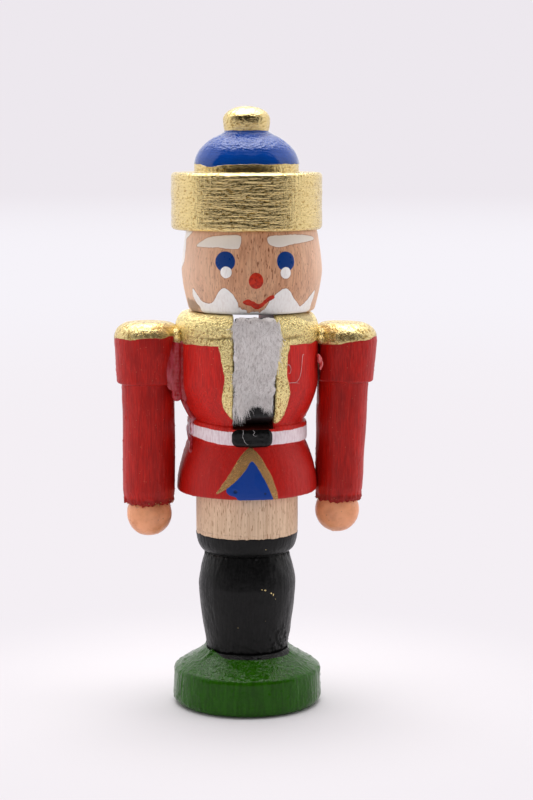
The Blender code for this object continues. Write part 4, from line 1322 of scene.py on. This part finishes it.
def make_glue():
    """A web in the valley between the right arm and the coat, and a small bead on the other side."""
    lumps = []
    arm_x = arm_axis("right")[0]

    def on_arm(turn, z, out=0.0):
        turn = math.radians(turn)
        radius = (CAP if z > 54 else 4.3) + out
        return (arm_x + radius * math.cos(turn), -radius * math.sin(turn), z)

    for step in range(14):
        z = 60.4 - step * 0.62
        lumps.append(((-11.9, -3.8, z), (0.85, 0.9, 1.0)))
        lumps.append((on_coat(-70, z, -0.15), (0.7, 0.5, 1.0)))
    for step in range(9):
        z = 59.4 - step * 0.66
        thick = math.sin(math.pi * (step + 1) / 10)
        lumps.append((on_arm(44, z, -0.02), (0.75, 0.25 + 0.2 * thick, 1.0)))
        lumps.append((on_arm(47 + 7 * thick, z, -0.18), (0.8, 0.2 + 0.14 * thick, 1.0)))
    for step in range(6):
        lumps.append((on_arm(20, 54.0 - step * 0.5, -0.05), (0.55 - 0.06 * step, 0.5, 0.8)))
    for step in range(15):
        z = 53.6 - step * 0.45
        lumps.append((on_coat(-77 + 0.5 * step, z, 0.02), (0.6 - 0.016 * step, 0.55, 0.8)))
    for step in range(5):
        lumps.append((on_coat(-80 + 2 * step, 47.9 - 0.4 * step, 0.05), (0.32, 0.7, 0.7)))
    for step in range(6):
        lumps.append((on_coat(-86 + 3 * step, 46.4 - 0.62 * step, 0.0), (0.34, 0.8, 0.8)))
    web = blob("glue_web", lumps, 0.12, 12)
    points = points_of(web)
    swell(web, rough(points, (0.9, 0.9, 2.6), 151) * 0.05)
    low, high = box_mm("left_shoulder_glue")
    x, y, z = (low + high) / 2 - [0.75, -0.5, GROUND + 0.25]
    lumps = [
        ((x, y, z + 0.2), (0.42, 0.5, 0.7)), ((x + 0.25, y - 0.1, z - 0.5), (0.3, 0.45, 0.6)),
        ((x - 0.2, y, z + 0.8), (0.32, 0.4, 0.45)), ((x + 0.1, y - 0.05, z - 1.1), (0.22, 0.4, 0.4))]
    bead = blob("glue_blob", lumps, 0.1, 4)
    for piece, (middle, deep, pale), seed, node in (
            (web, WEB_LOOK, 3.0, "right_shoulder_glue"), (bead, BEAD_LOOK, 7.0, "left_shoulder_glue")):
        points = points_of(piece)
        heights = points[:, 2] - GROUND
        tag(piece, pale=smooth_step(heights, 44.9, 46.2) * smooth_step(-heights, -49.0, -47.2))
        glue = Finish(piece.name)
        cloud = glue.grain((0.6, 0.6, 2.0), 3.0, seed)
        glue.ground(glue.mix(glue.level(cloud, 0.35, 0.7), deep, middle), 0.2, 0.0, cloud)
        glue.cover(glue.calc("MULTIPLY", glue.kept("pale"), glue.level(cloud, 0.3, 0.6)), pale)
        material = glue.done(
            0.09, 0.45, Subsurface_Weight=0.2, Subsurface_Radius=(0.6, 0.3, 0.3), Subsurface_Scale=0.001)
        rides(piece, "figure", material, "hot_glue", node)


# Lumps of gold over a shoulder joint, as X, Y, height and half sizes.
GOLD_LUMPS = [
    (11.85, -2.6, 62.3, (0.8, 1.5, 0.9)), (11.8, -3.6, 61.4, (0.75, 1.0, 0.8)),
    (12.0, -1.0, 62.5, (0.9, 1.6, 0.9)), (11.9, 1.6, 62.3, (0.8, 1.6, 0.8)),
    (12.4, -2.4, 62.5, (0.6, 1.1, 0.6))]


def make_shoulder_gold():
    """Gold paint that runs from the collar over each shoulder joint."""
    gilt = Finish("shoulder_gold")
    gilt.ground(*gold_leaf(gilt, 0.4))
    material = gilt.done(0.06)
    for side, sign in (("right", -1), ("left", 1)):
        lift = 0.0 if side == "right" else -0.2
        lumps = [((sign * x, y, z + lift), half) for x, y, z, half in GOLD_LUMPS]
        piece = blob(side + "_shoulder_gold", lumps, 0.14, 5)
        points = points_of(piece)
        swell(piece, rough(points, 0.9, 161) * 0.10)
        rides(piece, "figure", material, "gold_paint")


# ---------------------------------------------------------------- camera, light and floor

CAMERA_TURN = -6.5       # degrees round the base's axis from the front
CAMERA_PITCH = 7.4
CAMERA_YAW = 0.556
CAMERA_REACH = 335
CAMERA_HEIGHT = 94.4
LENS = 91.8
ROOM = (1.0, 0.985, 0.99)
HORIZON = tone(237, 232, 238)
NEAR_FLOOR = 0.075       # beyond this many metres the floor is evenly lit
FLOOR_FRONT = -0.42
FLOOR_HALF, FLOOR_BACK = 4.0, 5.0
SIDE_LIGHT = 1.12
FRONT_LIGHT = 0.03
TOP_LIGHT = 0.65
OVERHEAD_POWER = 5.0
FRONT_FILL_POWER = 1.15
SIDE_FILL_POWER = 1.7


def aim(thing, place, direction):
    thing.location = place
    thing.rotation_mode = "QUATERNION"
    thing.rotation_quaternion = direction.to_track_quat("-Z", "Y")


def make_camera():
    """A long lens level with the dome, turned slightly to the figure's right; gives its direction."""
    turn, pitch, yaw = (math.radians(a) for a in (CAMERA_TURN, CAMERA_PITCH, CAMERA_YAW))
    reach = CAMERA_REACH * MM
    x, y = axis_of("base_disc")[:2] * MM
    height = (GROUND + CAMERA_HEIGHT) * MM
    spot = Vector((x + math.sin(turn) * reach, y - math.cos(turn) * reach, height))
    ahead = Vector((-math.sin(turn), math.cos(turn), 0))
    side = Vector((ahead.y, -ahead.x, 0))
    ahead = (ahead * math.cos(yaw) + side * math.sin(yaw)).normalized()
    look = Vector((ahead.x * math.cos(pitch), ahead.y * math.cos(pitch), -math.sin(pitch)))
    data = bpy.data.cameras.new("camera")
    data.lens = LENS
    data.sensor_width = 36.0
    data.clip_start = 0.01
    data.clip_end = 50.0
    camera = add_object("camera", data)
    aim(camera, spot, look)
    bpy.context.scene.camera = camera
    return look


def make_world(toward_camera):
    """Plain paper behind the figure; round it a room that is dim on the camera's side."""
    world = bpy.data.worlds.new("studio")
    world.use_nodes = True
    tree = world.node_tree
    tree.nodes.clear()

    def add(kind, inputs=None, **settings):
        return add_node(tree, kind, inputs, **settings)

    def step(value, low, high, start, end):
        spans = {0: value, 1: low, 2: high, 3: start, 4: end}
        return add("ShaderNodeMapRange", spans, interpolation_type="SMOOTHSTEP").outputs[0]

    place = add("ShaderNodeTexCoord").outputs["Generated"]
    pair = {0: place, 1: toward_camera}
    facing = add("ShaderNodeVectorMath", pair, operation="DOT_PRODUCT").outputs["Value"]
    height = add("ShaderNodeSeparateXYZ", {0: place}).outputs["Z"]
    around = step(facing, 0.10, 0.27, SIDE_LIGHT, FRONT_LIGHT)
    above = step(height, 0.76, 0.88, 0.0, TOP_LIGHT)
    strength = add("ShaderNodeMath", {0: around, 1: above}, operation="MAXIMUM").outputs[0]
    studio = add("ShaderNodeBackground", {"Color": ROOM, "Strength": strength})
    paper = add("ShaderNodeBackground", {"Color": HORIZON})
    seen = add("ShaderNodeLightPath").outputs["Is Camera Ray"]
    choose = add("ShaderNodeMixShader", {0: seen, 1: studio.outputs[0], 2: paper.outputs[0]})
    add("ShaderNodeOutputWorld", {"Surface": choose.outputs[0]})
    bpy.context.scene.world = world


def make_floor():
    """Pale paper: real shade near the figure, even light farther away."""
    mesh = bpy.data.meshes.new("floor")
    z = CAD_BOUNDS[0].z
    corners = [
        (-FLOOR_HALF, FLOOR_FRONT, z), (FLOOR_HALF, FLOOR_FRONT, z), (FLOOR_HALF, FLOOR_BACK, z),
        (-FLOOR_HALF, FLOOR_BACK, z)]
    mesh.from_pydata(corners, [], [(0, 1, 2, 3)])
    floor = add_object("floor", mesh)
    paper = Finish("paper")
    reach = paper.add("ShaderNodeVectorMath", {0: paper.place}, operation="LENGTH").outputs["Value"]
    far = paper.mix(paper.level(reach, 0.25, 0.9), tone(244, 239, 244), tone(246, 243, 249))
    far = paper.mix(paper.level(reach, 1.2, 3.2), far, HORIZON)
    glow = paper.add("ShaderNodeEmission", {"Color": far, "Strength": 1.0}).outputs[0]
    paper.ground((0.56, 0.54, 0.555), 0.9)
    paper.done(0.0)
    faded = paper.level(reach, 0.012, NEAR_FLOOR, 0.25, 1.0)
    glowing = paper.calc("MULTIPLY", faded, paper.level(reach, 0.0115, 0.0135))
    blend = paper.add("ShaderNodeMixShader", {0: glowing, 1: paper.shader.outputs[0], 2: glow})
    feed(paper.tree, paper.tree.nodes["Material Output"].inputs["Surface"], blend.outputs[0])
    mesh.materials.append(paper.material)


def area_light(name, place, target, size, power):
    data = bpy.data.lights.new(name, "AREA")
    data.shape = "RECTANGLE"
    data.size, data.size_y = size
    data.energy = power
    light = add_object(name, data)
    aim(light, place, Vector(target) - Vector(place))
    return light


def make_lights():
    area_light("overhead", (0, 0.14, 0.62), (0, 0, 0.06), (0.6, 0.5), OVERHEAD_POWER)
    fills = (
        ("front_fill", (-0.10, -0.75, 0.30), FRONT_FILL_POWER),
        ("left_fill", (0.75, -0.12, 0.22), SIDE_FILL_POWER),
        ("right_fill", (-0.75, -0.25, 0.22), SIDE_FILL_POWER))
    for name, place, power in fills:
        fill = area_light(name, place, (0, 0, 0.05), (0.5, 0.4), power)
        fill.visible_glossy = False


def finish_inner_pieces():
    """Wood for the dowels and steel for the pin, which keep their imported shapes."""
    dowel = Finish("dowel_wood")
    lay_wood(dowel, tone(222, 190, 152), tone(164, 122, 84))
    dowels = dowel.done(0.03)
    pin = Finish("drawn_steel")
    drawn = pin.grain((3.0, 0.12, 0.12), 4.0, 2.0)
    bright = pin.mix(drawn, (0.42, 0.42, 0.44), (0.66, 0.66, 0.68))
    pin.ground(bright, pin.gloss(drawn, 0.22, 0.4), 1.0, drawn)
    steel = pin.done(0.01)
    for node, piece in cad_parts.items():
        if "peg" in node:
            piece.material_slots[0].material = dowels
    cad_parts["lever_pin"].material_slots[0].material = steel


make_base()
make_legs()
make_coat()
make_head()
make_hat()
arms = arm_material()
hands = hand_material()
for hand_side in ("right", "left"):
    make_arm(hand_side, arms)
    make_burrs(hand_side, arms)
    make_hand(hand_side, hands)
make_lever()
make_beard()
make_stray_fibres()
make_glue()
make_shoulder_gold()
finish_inner_pieces()
camera_look = make_camera()
make_world(-Vector((camera_look.x, camera_look.y, 0)).normalized())
make_floor()
make_lights()
view = bpy.context.scene.view_settings
view.view_transform = "Standard"
view.look = "None"
